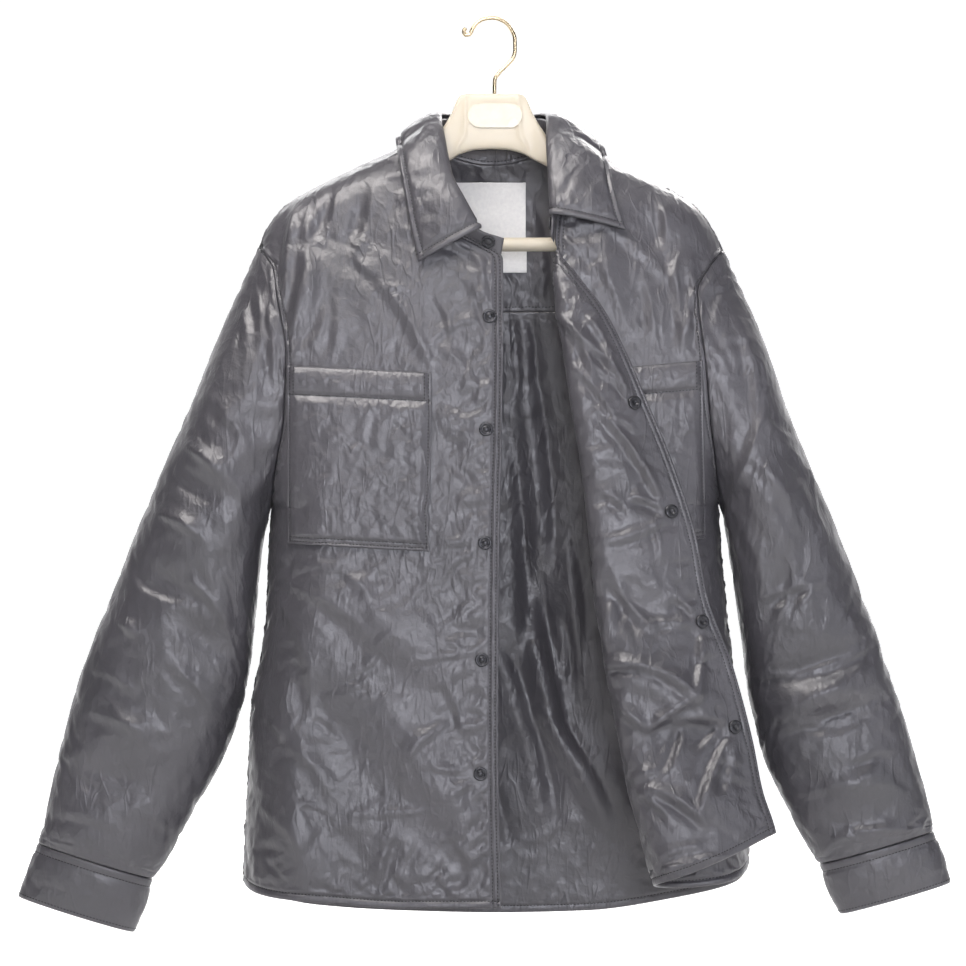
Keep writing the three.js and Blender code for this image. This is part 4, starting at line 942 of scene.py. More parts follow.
def sleeve_cloth(side, rows, folds):
    shares = shares_of(600)
    angle = (2 * math.pi * np.arange(130) / 130)[None, :]
    rings = resampled(rows, shares)
    grid = ring_points(rings, angle)
    z = lerp(side.top, side.underarm, (1 - np.cos(angle)) / 2)
    reach = np.where(angle <= math.pi, ARMHOLE_FRONT, ARMHOLE_BACK) * np.abs(np.sin(angle))
    forward = np.where(angle <= math.pi, 1, -1)
    armhole = np.stack([side.sign * side.seam(z), -forward * reach, z], axis=-1)
    away = unit(np.array([side.sign, 0, -0.4])) * 1.6 * SEAM_GAP
    ring = shares[:, None] * (SLEEVE_COUNT - 1)
    grid = grid + (1 - fade(ring, BLEND_RINGS))[..., None] * (armhole - grid[:1] + away)
    facing = -np.sin(angle)
    calm = fade(ring, 2) * fade(SLEEVE_COUNT - 1 - ring, 2)
    grid[..., 1] += calm * facing * np.abs(facing) * fold_shift(folds, grid[..., 0], grid[..., 2])
    cloth = Cloth(grid, 1 if side.sign < 0 else -1, around=True)
    cloth.turn_normals(side.armhole_normal(angle), cloth.from_top)
    cloth.angle = angle
    return cloth


def cuff_cloth(rows, facing):
    angle = (2 * math.pi * np.arange(96) / 96)[None, :]
    cloth = Cloth(ring_points(resampled(rows, shares_of(52, 2.5)), angle), facing, around=True)
    cloth.angle = angle
    return cloth


sleeve_right = sleeve_cloth(right, SLEEVE_RIGHT, FOLDS_SLEEVE_RIGHT)
sleeve_left = sleeve_cloth(left, SLEEVE_LEFT, FOLDS_SLEEVE_LEFT)
cuff_right = cuff_cloth(CUFF_RIGHT, 1)
cuff_left = cuff_cloth(CUFF_LEFT, -1)

# Collar: where it rolls, and where its outer edge lies on the garment
COLLAR = table(
    "roll_x roll_y roll_z edge_x edge_z forward",
    (-14, -56, -213, -73, -244, 1), (-30, -53, -184, -80, -216, 1), (-43, -41, -158, -86, -183, 1),
    (-50, -23, -122, -92, -150, 1), (-52.5, -11, -108, -95.5, -128.5, 1), (-53, 2, -100, -97, -120, 0),
    (-51, 14, -97.5, -95, -129, -1), (-46, 25, -97, -88, -142, -1), (-28, 33, -97, -50, -156, -1),
    (0, 35, -97, 0, -160, -1), (30, 33, -97, 52, -156, -1), (48, 25, -97, 94, -142, -1),
    (53, 14, -98, 108, -134, -1), (56, 2, -100, 112, -128, 0), (57, -11, -109, 115, -136, 1),
    (57, -23, -124, 118, -152, 1), (59, -40, -160, 124, -180, 1), (61, -52, -199, 133, -212, 1),
)
STAND_ENDS = ((12, -52, -221), (60, -55, -218))
STAND_WALL = 3
STAND_LAP = 1.2
LEAF_WALL = 3
LEAF_SPRING = 13
LEAF_REST = 6.5
LEAF_ROOT_GAP = 1.6


def smooth_line(points, count):
    """Evenly spaced points of a smooth curve through given ones."""
    points = np.array(points, float)
    step = np.linalg.norm(np.diff(points, axis=0), axis=1)
    rows = [dict(at=a, x=p[0], y=p[1], z=p[2]) for a, p in zip(np.concatenate([[0], np.cumsum(step)]), points)]
    at = np.linspace(0, rows[-1]["at"], 12 * count)
    dense = np.stack([curve_of(rows, "at", axis)(at) for axis in "xyz"], axis=-1)
    return even(dense, count)


def even(line, count):
    return along(np.repeat(line[None], count, axis=0), np.linspace(0, 1, count))


def collar_stand():
    def neck(cloth, column):
        share = (cloth.grid[:, column, 2] - cloth.grid[0, column, 2]) / (
            cloth.grid[-1, column, 2] - cloth.grid[0, column, 2]
        )
        return cloth.grid[share <= NECK_CORNER_SHARE + 0.002, column]
    neck_back = yoke.grid[0][np.abs(yoke.grid[0, :, 0]) < NECK_HALF_WIDTH - 1]
    foot = np.concatenate([neck(front_right, -1)[::-1], neck_back, neck(front_left, -1)])
    count = 150
    foot = even(foot, count)
    rolls = [(row["roll_x"], row["roll_y"], row["roll_z"]) for row in COLLAR]
    top = smooth_line([STAND_ENDS[0], *rolls, STAND_ENDS[1]], count)
    rise = top - foot
    low = foot - unit(rise) * STAND_LAP
    shares = shares_of(28, 2.0)[:, None, None]
    return Cloth(lerp(top[None], low[None], shares), -1, STAND_WALL)


def collar_leaf():
    columns = shares_of(420, 2.8, SEWN_STEPS)
    rows = [dict(row, key=i / (len(COLLAR) - 1)) for i, row in enumerate(COLLAR)]
    get = lambda name: curve_of(rows, "key", name)(columns)
    roll = np.stack([get("roll_x"), get("roll_y"), get("roll_z")], axis=-1)
    edge_x, edge_z, forward = get("edge_x"), get("edge_z"), get("forward")
    out = np.abs(edge_x)
    drop = np.where(edge_x < 0, right.shoulder(out), left.shoulder(out)) - edge_z
    off = LEAF_WALL + LEAF_REST
    over = np.sqrt(np.maximum(0, 1 - (np.minimum(drop, 0) / off) ** 2))
    depth = np.where(forward > 0, front_depth(np.maximum(0, drop)), back_depth(np.maximum(0, drop)))
    edge = np.stack([edge_x, -np.sign(forward) * (depth + off * over), edge_z], axis=-1)
    fall = unit(edge - roll)
    outward = unit(np.cross(unit(np.gradient(roll, axis=0)), fall))
    lift = unit(outward * 0.35 - fall)
    root = roll + lift * (LEAF_WALL + LEAF_ROOT_GAP)
    handles = (
        root, root + outward * LEAF_SPRING + lift * 2,
        lerp(edge, roll, 0.35) + outward * LEAF_SPRING * 0.7, edge,
    )
    t = shares_of(55, 2.5, SEWN_STEPS)[:, None, None]
    weights = ((1 - t) ** 3, 3 * t * (1 - t) ** 2, 3 * t * t * (1 - t), t**3)
    return Cloth(sum(w * h[None] for w, h in zip(weights, handles)), -1, LEAF_WALL)


stand = collar_stand()
leaf = collar_leaf()

# Chest pockets, laid on the fronts, with a padded band along the top
POCKET_WIDTH = 143
POCKET_HEIGHT = 176
POCKET_BAND = 28
POCKET_WALL = 2.4
POCKET_GAP = 1.9
POCKET_RIGHT = dict(side_top=-202.5, side_bottom=-200, top=-347, slope=-0.052)
POCKET_LEFT = dict(side_top=208, side_bottom=209, top=-342, slope=-0.09)


def pocket_cloth(line_at, sign, folds, pocket):
    across = shares_of(POCKET_WIDTH, 2.4, SEWN_STEPS) * POCKET_WIDTH
    rows = []
    for down in shares_of(POCKET_HEIGHT, 2.0, SEWN_STEPS) * POCKET_HEIGHT:
        z = pocket["top"] - down + pocket["slope"] * across
        line = line_at(z)
        step = np.linalg.norm(np.diff(line, axis=1), axis=-1)
        length = np.concatenate([np.zeros((len(z), 1)), np.cumsum(step, axis=1)], axis=1)
        start_x = lerp(pocket["side_top"], pocket["side_bottom"], down / POCKET_HEIGHT)
        reached = sign * line[..., 0] < sign * start_x
        first = np.maximum(reached.argmax(axis=1), 1)
        k = np.arange(len(z))
        x0, x1 = line[k, first - 1, 0], line[k, first, 0]
        start = lerp(length[k, first - 1], length[k, first], (start_x - x0) / (x1 - x0))
        points = along(line, (start + across) / length[:, -1])
        points[:, 1] -= fold_at(folds, points)
        rows.append(points)
    grid = np.stack(rows)
    facing = 1 if sign < 0 else -1
    cloth = Cloth(grid, facing, POCKET_WALL)
    cloth.grid = grid + cloth.normals * (POCKET_GAP + POCKET_WALL)
    return cloth


pocket_right = pocket_cloth(front_right_line, -1, FOLDS_FRONT_RIGHT, POCKET_RIGHT)
pocket_left = pocket_cloth(front_left_line, 1, FOLDS_FRONT_LEFT, POCKET_LEFT)

# Buckling: each panel is held along its seams and stitching
STUDS = ((-2.5, -298), (-6, -410), (-7, -522), (-10, -637), (-11.5, -749))
SOCKETS = ((140, -384), (176, -491), (206, -599), (238, -702))
FRONT_STITCHES = (3.2, 8.2)
HEM_STITCH = 7
POCKET_BOX_RIGHT = ((-207, -345), (-58, -530))
POCKET_BOX_LEFT = ((60, -340), (214, -530))
# Share of the simulated buckling that each part keeps
CHEST_GAIN = 0.25
FRONT_GAIN = 0.65
FLAP_GAIN = 0.6
SLEEVE_GAIN = 0.7


def near_pocket(cloth, corners):
    """1 outside a pocket's place, 0 under it."""
    x, z = cloth.grid[..., 0], cloth.grid[..., 2]
    (x0, z0), (x1, z1) = corners
    inside = np.minimum.reduce([x - x0, x1 - x, z - z1, z0 - z])
    return 1 - fade(inside + 6, 10)


def spot(cloth, places, radius):
    """0 at given places of the front view, 1 away from them."""
    keep = np.ones(cloth.u.shape)
    for x, z in places:
        distance = np.hypot(cloth.grid[..., 0] - x, cloth.grid[..., 2] - z)
        keep *= fade(distance - radius * 0.6, radius)
    return keep


def free_inside(cloth, left=5, right=5, top=5, bottom=5):
    """1 inside a panel, 0 along its seams: how far in each side is held."""
    free = fade(cloth.from_top - top, 8) * fade(cloth.from_bottom - bottom, 8)
    if not cloth.around:
        free *= fade(cloth.from_left - left, 8) * fade(cloth.from_right - right, 8)
    return free


def near_sewing(cloth, side_gain=0.8):
    """1 beside the front edge and the hem, less beside the armhole, 0 in the middle."""
    return np.maximum.reduce([
        1 - fade(cloth.from_right - 14, 46), 1 - fade(cloth.from_bottom - 10, 46),
        side_gain * (1 - fade(cloth.from_left - 6, 34)),
    ])


on_flap = front_left.u > front_left.girth[:, None] - 0.98 * np.maximum(
    0, edge_left(front_left.grid[..., 2]) - fold_left(front_left.grid[..., 2]))
chest = lambda cloth: lerp(CHEST_GAIN, FRONT_GAIN, fade(-300 - cloth.grid[..., 2], 120))
front = free_inside(front_right, 0, FRONT_STITCHES[1], 0, HEM_STITCH)
front *= spot(front_right, STUDS, 8) * near_pocket(front_right, POCKET_BOX_RIGHT)
billow(front_right, 11, front, lerp(chest(front_right), 1, near_sewing(front_right)))
front = free_inside(front_left, 0, FRONT_STITCHES[1], 0, HEM_STITCH)
front *= np.where(on_flap, spot(front_left, SOCKETS, 8), near_pocket(front_left, POCKET_BOX_LEFT))
billow(front_left, 12, front, np.where(on_flap, FLAP_GAIN, lerp(chest(front_left), 1, near_sewing(front_left))))
billow(yoke, 13, free_inside(yoke, 0, 0, 0, 3), 0.45, every=2)
billow(back, 14, free_inside(back, 0, 0, 2, HEM_STITCH), 0.35, every=2)
billow(sleeve_right, 15, free_inside(sleeve_right, 0, 0, 0, 0), SLEEVE_GAIN)
billow(sleeve_left, 16, free_inside(sleeve_left, 0, 0, 0, 0), SLEEVE_GAIN)
for number, (piece, gain) in enumerate((
    (cuff_right, 0.6), (cuff_left, 0.6), (pocket_right, 0.5), (pocket_left, 0.5), (leaf, 0.8)
)):
    billow(piece, 20 + number, free_inside(piece, 7, 7, 7, 7), gain, 0.02, 1.6)

# Relief of each piece: crumple all over, puckers beside the stitching, listed creases
ARMHOLE_STITCH = 8.5
CUFF_STITCHES = (8, 4)      # from its top and from its foot
LEAF_STITCH = 7
CHEST_CRUMPLE = 0.45
FRONT_CRUMPLE = 1.1
CORNER_CALM = 15


def finish_front(cloth, seed, creases, places):
    u, v = cloth.u, cloth.v
    calm_seam = fade(cloth.from_left, 10) * fade(cloth.from_top, 10)
    upper = fade(-300 - cloth.grid[..., 2], 120)
    share = lerp(lerp(CHEST_CRUMPLE, FRONT_CRUMPLE, upper), 1, near_sewing(cloth))
    cloth.rise += share * crumple(u, v, seed) * calm_seam * fade(cloth.from_right, 16) * fade(cloth.from_bottom, 14)
    cloth.rise += puckers(v, cloth.from_left - 1, seed + 1, 9, 1.5, 20)
    cloth.rise += puckers(v, cloth.from_right - FRONT_STITCHES[1], seed + 2, 7, 1.7, 17)
    cloth.rise += puckers(v, cloth.from_right - 1, seed + 5, 6, 0.8, 5)
    cloth.rise += puckers(u, cloth.from_top - 1, seed + 3, 10, 1.2, 18)
    cloth.rise += puckers(u, cloth.from_bottom - HEM_STITCH, seed + 4, 8, 1.5, 15)
    cloth.rise += crease_shift(creases, cloth.grid[..., 0], cloth.grid[..., 2]) * calm_seam
    cloth.rise *= spot(cloth, places, 11) * fade(np.hypot(cloth.from_left, cloth.from_top), CORNER_CALM)
    for at in FRONT_STITCHES:
        cloth.stitch_dip(cloth.from_right, at, 0.5, 1.4, 0.35)
    cloth.stitch_dip(cloth.from_left, ARMHOLE_STITCH, 0.4, 1.6, 0.4)
    cloth.stitch_dip(cloth.from_bottom, HEM_STITCH)
    cloth.round_edge(cloth.from_right)
    cloth.round_edge(cloth.from_bottom)
    cloth.round_edge(cloth.from_left, 4, 0.3)
    cloth.round_edge(cloth.from_top, 3, 0.45)


finish_front(front_right, 100, CREASES_RIGHT, STUDS)
front_right.rise *= near_pocket(front_right, POCKET_BOX_RIGHT)
finish_front(front_left, 200, CREASES_LEFT, ())
front_left.rise *= near_pocket(front_left, POCKET_BOX_LEFT)
flap_relief = crease_shift(CREASES_FLAP, front_left.grid[..., 0], front_left.grid[..., 2])
front_left.rise -= 1.5 * flap_relief * on_flap * fade(front_left.from_right - 6, 14)
front_left.rise *= np.where(on_flap, spot(front_left, SOCKETS, 11), 1)

for cloth, seed, creases in ((yoke, 300, CREASES_YOKE), (back, 400, CREASES_BACK)):
    calm = fade(cloth.from_left, 12) * fade(cloth.from_right, 12)
    calm = calm * fade(cloth.from_top, 10) * fade(cloth.from_bottom, 10)
    cloth.rise += crumple(cloth.u, cloth.v, seed, 60) * calm
    cloth.rise += crease_shift(creases, cloth.grid[..., 0], cloth.grid[..., 2]) * calm
    cloth.rise += puckers(cloth.v, cloth.from_left - 1, seed + 1, 10, 1.3, 18)
    cloth.rise += puckers(cloth.v, cloth.from_right - 1, seed + 2, 10, 1.3, 18)
    cloth.rise += puckers(cloth.u, cloth.from_top - 1, seed + 3, 10, 1.2, 15)
    cloth.rise += puckers(cloth.u, cloth.from_bottom - (HEM_STITCH if cloth is back else 1), seed + 4, 10, 1.1, 15)
    for distance in (cloth.from_left, cloth.from_right):
        cloth.rise *= fade(np.hypot(distance, cloth.from_top), CORNER_CALM)
    for distance in cloth.borders():
        cloth.round_edge(distance, 3, 0.4)
back.stitch_dip(back.from_bottom, HEM_STITCH)
yoke.stitch_dip(yoke.from_bottom, 5)

for cloth, seed, creases in ((sleeve_right, 500, CREASES_SLEEVE_RIGHT), (sleeve_left, 600, CREASES_SLEEVE_LEFT)):
    across = -np.sin(cloth.angle)
    x, z = cloth.grid[..., 0], cloth.grid[..., 2]
    calm = fade(cloth.from_top, 14) * fade(cloth.from_bottom, 12)
    wrap = np.minimum(fade(cloth.u, 30), fade(cloth.girth[:, None] - cloth.u, 30))
    cloth.rise += crumple(cloth.u, cloth.v, seed, 52) * calm * wrap
    cloth.rise += crease_shift(creases, x, z) * calm * fade(-across, 0.8)
    cloth.rise += crease_shift(mirrored(creases, 18), x, z) * calm * fade(across, 0.8)
    cloth.rise += puckers(cloth.u, cloth.from_top - 1, seed + 3, 9, 1.5, 20) * wrap
    cloth.rise += puckers(cloth.u, cloth.from_bottom - 1, seed + 4, 9, 1.5, 18) * wrap
    cloth.round_edge(cloth.from_top, 4, 0.3)
    cloth.round_edge(cloth.from_bottom, 3, 0.45)

for cloth, seed in ((cuff_right, 700), (cuff_left, 750)):
    wrap = np.minimum(fade(cloth.u, 20), fade(cloth.girth[:, None] - cloth.u, 20))
    cloth.rise += 0.45 * crumple(cloth.u, cloth.v, seed, 40) * wrap
    cloth.rise += puckers(cloth.u, cloth.from_top - CUFF_STITCHES[0], seed + 1, 8, 0.9, 12) * wrap
    cloth.stitch_dip(cloth.from_top, CUFF_STITCHES[0])
    cloth.round_edge(cloth.from_top, 3, 0.5)
    cloth.round_edge(cloth.from_bottom, 3.5)

for cloth, seed in ((stand, 800), (leaf, 850)):
    cloth.rise += 0.4 * crumple(cloth.u, cloth.v, seed, 40) * fade(cloth.from_bottom, 8) * fade(cloth.from_top, 8)
    for distance in cloth.borders():
        cloth.round_edge(distance, 2.5)
leaf.rise += puckers(leaf.u, leaf.from_bottom - LEAF_STITCH, 861, 8, 0.7, 10)
leaf_edge = np.minimum.reduce([leaf.from_left, leaf.from_right, leaf.from_bottom])
leaf_roll = 1.1 * np.exp(-(((leaf_edge - 3.2) / 2.6) ** 2))
leaf.rise += leaf_roll + 0.8 * fade(leaf_edge - LEAF_STITCH, 7) * fade(leaf.from_top - 6, 16)
leaf.stitch_dip(leaf_edge, LEAF_STITCH, 0.6, 1.4, 0.7)

POCKET_STITCHES = (3, 7)
for cloth, seed in ((pocket_right, 900), (pocket_left, 950)):
    border = np.minimum.reduce([cloth.from_left, cloth.from_right, cloth.from_bottom])
    band = np.sqrt(np.sin(math.pi * np.clip(cloth.v / POCKET_BAND, 0, 1)))
    cloth.rise += 0.55 * crumple(cloth.u, cloth.v, seed, 42) * fade(border, 8) * fade(cloth.v - POCKET_BAND, 8)
    cloth.rise += 3.4 * band * fade(border, 9)
    cloth.rise += 2.0 * fade(cloth.v - POCKET_BAND - 1, 9) * fade(border - 3, 9)
    cloth.rise += puckers(cloth.v, cloth.from_left - 4, seed + 1, 8, 0.9, 12)
    cloth.rise += puckers(cloth.v, cloth.from_right - 4, seed + 2, 8, 0.9, 12)
    cloth.rise += puckers(cloth.u, cloth.from_bottom - 4, seed + 3, 8, 0.9, 12)
    cloth.rise += puckers(cloth.u, cloth.v - POCKET_BAND, seed + 4, 8, 0.9, 12)
    cloth.rise = np.maximum(cloth.rise, -1.2)
    for at in POCKET_STITCHES:
        cloth.stitch_dip(cloth.from_bottom, at, 0.5, 1.4, 0.3)
    for distance in (cloth.from_left, cloth.from_right):
        cloth.stitch_dip(distance, POCKET_STITCHES[0], 0.5, 1.4, 0.3)
    cloth.stitch_dip(cloth.v, POCKET_BAND, 0.6, 1.6, 0.6)
    for distance in cloth.borders():
        cloth.round_edge(distance, 2)


# Materials
def material(name):
    made = bpy.data.materials.new(name)
    made.use_nodes = True
    nodes, links = made.node_tree.nodes, made.node_tree.links
    return made, nodes, links, nodes["Principled BSDF"]


def ramp(nodes, links, source, low, high, start=0.3, stop=0.7):
    """A value's range mapped to another, as a colour or a grey."""
    made = nodes.new("ShaderNodeMapRange")
    made.inputs["From Min"].default_value = start
    made.inputs["From Max"].default_value = stop
    made.inputs["To Min"].default_value = low
    made.inputs["To Max"].default_value = high
    links.new(source, made.inputs["Value"])
    return made.outputs["Result"]


def colour_mix(nodes, links, factor, low, high):
    made = nodes.new("ShaderNodeValToRGB")
    made.color_ramp.elements[0].color = (*low, 1)
    made.color_ramp.elements[1].color = (*high, 1)
    made.color_ramp.elements[0].position = 0.3
    made.color_ramp.elements[1].position = 0.7
    links.new(factor, made.inputs["Fac"])
    return made.outputs["Color"]


def noise_node(nodes, links, vector, scale, detail=4.0, distortion=0.0, kind="FBM"):
    made = nodes.new("ShaderNodeTexNoise")
    made.noise_type = kind
    made.inputs["Scale"].default_value = scale
    made.inputs["Detail"].default_value = detail
    made.inputs["Distortion"].default_value = distortion
    links.new(vector, made.inputs["Vector"])
    return made.outputs["Fac"]


def wave_node(nodes, links, vector, scale, axis):
    made = nodes.new("ShaderNodeTexWave")
    made.bands_direction = axis
    made.inputs["Scale"].default_value = scale
    made.inputs["Distortion"].default_value = 0.4
    links.new(vector, made.inputs["Vector"])
    return made.outputs["Fac"]


def bump(nodes, links, height, strength, distance, onto=None):
    made = nodes.new("ShaderNodeBump")
    made.inputs["Strength"].default_value = strength
    made.inputs["Distance"].default_value = distance
    links.new(height, made.inputs["Height"])
    if onto is not None:
        links.new(onto, made.inputs["Normal"])
    return made.outputs["Normal"]


def crease_node(nodes, links, vector, scale):
    """Cells with sharp borders, bent by noise: the facets of crumpled cloth."""
    bend = nodes.new("ShaderNodeTexNoise")
    bend.inputs["Scale"].default_value = scale * 0.55
    bend.inputs["Detail"].default_value = 3
    links.new(vector, bend.inputs["Vector"])
    push = nodes.new("ShaderNodeVectorMath")
    push.operation = "MULTIPLY_ADD"
    links.new(bend.outputs["Color"], push.inputs[0])
    push.inputs[1].default_value = (0.9 / scale,) * 3
    links.new(vector, push.inputs[2])
    cells = nodes.new("ShaderNodeTexVoronoi")
    cells.feature = "F1"
    cells.inputs["Scale"].default_value = scale
    cells.inputs["Detail"].default_value = 1
    links.new(push.outputs["Vector"], cells.inputs["Vector"])
    return cells.outputs["Distance"]


def line_node(nodes, links, vector, lean, scale, thin):
    """Long thin wrinkles that lean one way, in patches."""
    turned = nodes.new("ShaderNodeMapping")
    turned.inputs["Rotation"].default_value = (0, lean, 0)
    turned.inputs["Scale"].default_value = (1, 1, 0.3)
    links.new(vector, turned.inputs["Vector"])
    field = noise_node(nodes, links, turned.outputs["Vector"], scale, 2, 0.5)
    level = math_node(nodes, links, "SUBTRACT", field, 0.5)
    level = math_node(nodes, links, "ABSOLUTE", level)
    ridge = ramp(nodes, links, level, 1, 0, 0, thin)
    patch = ramp(nodes, links, noise_node(nodes, links, vector, scale * 0.4, 2), 0, 1, 0.42, 0.6)
    return math_node(nodes, links, "MULTIPLY", ridge, patch)


def math_node(nodes, links, operation, first, second=None):
    made = nodes.new("ShaderNodeMath")
    made.operation = operation
    links.new(first, made.inputs[0])
    if isinstance(second, float):
        made.inputs[1].default_value = second
    elif second is not None:
        links.new(second, made.inputs[1])
    return made.outputs["Value"]


def nylon(name, dark, light):
    made, nodes, links, shader = material(name)
    flat = nodes.new("ShaderNodeUVMap").outputs["UV"]
    solid = nodes.new("ShaderNodeTexCoord").outputs["Object"]
    broad = noise_node(nodes, links, solid, 9, 3)
    links.new(colour_mix(nodes, links, broad, dark, light), shader.inputs["Base Color"])
    patch = noise_node(nodes, links, solid, 38, 5, 0.4)
    links.new(ramp(nodes, links, patch, 0.35, 0.46), shader.inputs["Roughness"])
    creases = crease_node(nodes, links, solid, 46)
    small_creases = crease_node(nodes, links, solid, 105)
    fine = noise_node(nodes, links, solid, 120, 6, 0.8)
    warp = wave_node(nodes, links, flat, 900, "X")
    weft = wave_node(nodes, links, flat, 900, "Y")
    normal = bump(nodes, links, creases, 0.2, 0.0030)
    normal = bump(nodes, links, small_creases, 0.16, 0.0016, normal)
    for lean, scale, height in ((0.6, 34, 0.0008), (-0.7, 40, 0.0008), (0.15, 62, 0.0004), (1.4, 46, 0.0006)):
        wrinkles = line_node(nodes, links, solid, lean, scale, 0.05)
        normal = bump(nodes, links, wrinkles, 0.4, height, normal)
    normal = bump(nodes, links, fine, 0.35, 0.0011, normal)
    normal = bump(nodes, links, warp, 0.05, 0.0001, normal)
    normal = bump(nodes, links, weft, 0.05, 0.0001, normal)
    links.new(normal, shader.inputs["Normal"])
    shader.inputs["Specular IOR Level"].default_value = 0.85
    shader.inputs["Sheen Weight"].default_value = 0.05
    shader.inputs["Sheen Roughness"].default_value = 0.4
    shader.inputs["Coat Weight"].default_value = 0.08
    shader.inputs["Coat Roughness"].default_value = 0.3
    return made


def plain(name, dark, light, rough, metal=0.0, scale=60, strength=0.08, distance=0.0004):
    made, nodes, links, shader = material(name)
    solid = nodes.new("ShaderNodeTexCoord").outputs["Object"]
    broad = noise_node(nodes, links, solid, scale, 4)
    links.new(colour_mix(nodes, links, broad, dark, light), shader.inputs["Base Color"])
    links.new(ramp(nodes, links, broad, rough[0], rough[1]), shader.inputs["Roughness"])
    grain = noise_node(nodes, links, solid, scale * 12, 5)
    links.new(bump(nodes, links, grain, strength, distance), shader.inputs["Normal"])
    shader.inputs["Metallic"].default_value = metal
    return made


cloth_look = nylon("nylon", (0.060, 0.058, 0.066), (0.080, 0.077, 0.087))
thread_look = plain("thread", (0.010, 0.010, 0.012), (0.018, 0.018, 0.021), (0.55, 0.7), 0, 500, 0.2)
ivory_look = plain("ivory_plastic", (0.60, 0.54, 0.43), (0.65, 0.59, 0.475), (0.30, 0.40), 0, 30, 0.05)
brass_look = plain("brass", (0.50, 0.40, 0.25), (0.60, 0.50, 0.34), (0.22, 0.34), 1.0, 90, 0.06)
plate_look = plain("plate", (0.42, 0.38, 0.30), (0.55, 0.51, 0.42), (0.3, 0.45), 0.7, 140, 0.1)
snap_look = plain("snap_metal", (0.035, 0.035, 0.04), (0.07, 0.07, 0.075), (0.24, 0.36), 0.6, 200, 0.08)
label_look = plain("label", (0.78, 0.78, 0.78), (0.86, 0.86, 0.85), (0.6, 0.75), 0, 300, 0.15)
ivory_shader = ivory_look.node_tree.nodes["Principled BSDF"]
ivory_shader.inputs["Subsurface Weight"].default_value = 0.08
ivory_shader.inputs["Subsurface Radius"].default_value = (0.004, 0.003, 0.002)


def settle(obj, look, slot, *nodes):
    obj.data.materials.append(look)
    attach(obj, "root")
    if nodes:
        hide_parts(*nodes)
    return obj


# The cloth pieces: name, cloth, width and length of the cut, its flat area, hold, and what it rests on
PIECES = (
    ("front_right", front_right, (0.29, 0.77), 0.187, "hung", ["yoke"]),
    ("front_left", front_left, (0.36, 0.76), 0.185, "folded", ["yoke"]),
    ("yoke", yoke, (0.52, 0.19), 0.068, "hung", ["hanger_body"]),
    ("back", back, (0.56, 0.62), 0.306, "hung", ["yoke"]),
    ("sleeve_right", sleeve_right, (0.40, 0.62), 0.196, "hung", ["yoke"]),
    ("sleeve_left", sleeve_left, (0.40, 0.60), 0.18, "hung", ["yoke"]),
    ("cuff_right", cuff_right, (0.28, 0.058), None, "hung", ["sleeve_right"]),
    ("cuff_left", cuff_left, (0.28, 0.056), None, "hung", ["sleeve_left"]),
    ("collar_stand", stand, (0.42, 0.034), 0.0105, "folded", ["yoke"]),
    ("collar_leaf", leaf, (0.50, 0.07), 0.03, "folded", ["collar_stand"]),
    ("pocket_right", pocket_right, (0.143, 0.176), None, "hung", ["front_right"]),
    ("pocket_left", pocket_left, (0.143, 0.176), None, "hung", ["front_left"]),
)
for name, cloth, flat, area, held, rests in PIECES:
    obj = settle(sheet_object("cloth_" + name, cloth), cloth_look, "nylon", name)


# Stitching
def sewn(name, *runs):
    thread = Thread()
    for run in runs:
        thread.follow(*run[:4], **(run[4] if len(run) > 4 else {}))
    settle(thread.make("stitches_" + name), thread_look, "nylon")


def both(*run):
    """A run of stitches on the outer and on the inner face."""
    return run, (*run, dict(inner=True))


# Where a run is kept, by its shares of the way down (v) and across (u)
CLEAR_CORNER = dict(keep=lambda v, u: v > 0.014)
ARMHOLE_PART = dict(keep=lambda v, u: v < 0.36)
SHOULDER_PART = dict(keep=lambda v, u: (np.abs(u - 0.5) > 0.2) & (np.abs(u - 0.5) < 0.46))
IN_BAND = dict(keep=lambda v, u: v < 0.2)
for name, cloth in (("front_right", front_right), ("front_left", front_left)):
    sewn(
        name,
        *[run for at in FRONT_STITCHES for run in both(cloth, cloth.from_right, at, True)],
        *both(cloth, cloth.from_bottom, HEM_STITCH, False),
        (cloth, cloth.from_left, ARMHOLE_STITCH, True, CLEAR_CORNER),
    )
sewn(
    "back",
    *both(back, back.from_bottom, HEM_STITCH, False),
    *both(yoke, yoke.from_bottom, 5, False),
    (yoke, yoke.from_left, ARMHOLE_STITCH, True, CLEAR_CORNER),
    (yoke, yoke.from_right, ARMHOLE_STITCH, True, CLEAR_CORNER),
    (back, back.from_left, ARMHOLE_STITCH, True, ARMHOLE_PART),
    (back, back.from_right, ARMHOLE_STITCH, True, ARMHOLE_PART),
    (yoke, yoke.from_top, 6, False, SHOULDER_PART),
)
for name, cloth in (("cuff_right", cuff_right), ("cuff_left", cuff_left)):
    sewn(name, (cloth, cloth.from_top, CUFF_STITCHES[0], False), (cloth, cloth.from_bottom, CUFF_STITCHES[1], False))
sewn(
    "collar",
    (leaf, leaf.from_bottom, LEAF_STITCH, False), (leaf, leaf.from_left, LEAF_STITCH, True),
    (leaf, leaf.from_right, LEAF_STITCH, True), (stand, stand.from_bottom, 4, False, dict(inner=True)),
)
for name, cloth in (("pocket_right", pocket_right), ("pocket_left", pocket_left)):
    sewn(
        name,
        (cloth, cloth.from_left, POCKET_STITCHES[0], True), (cloth, cloth.from_right, POCKET_STITCHES[0], True),
        (cloth, cloth.from_bottom, POCKET_STITCHES[0], False), (cloth, cloth.from_bottom, POCKET_STITCHES[1], False),
        (cloth, cloth.from_top, POCKET_BAND, False),
        (cloth, cloth.from_left, POCKET_STITCHES[1], True, IN_BAND),
        (cloth, cloth.from_right, POCKET_STITCHES[1], True, IN_BAND),
    )


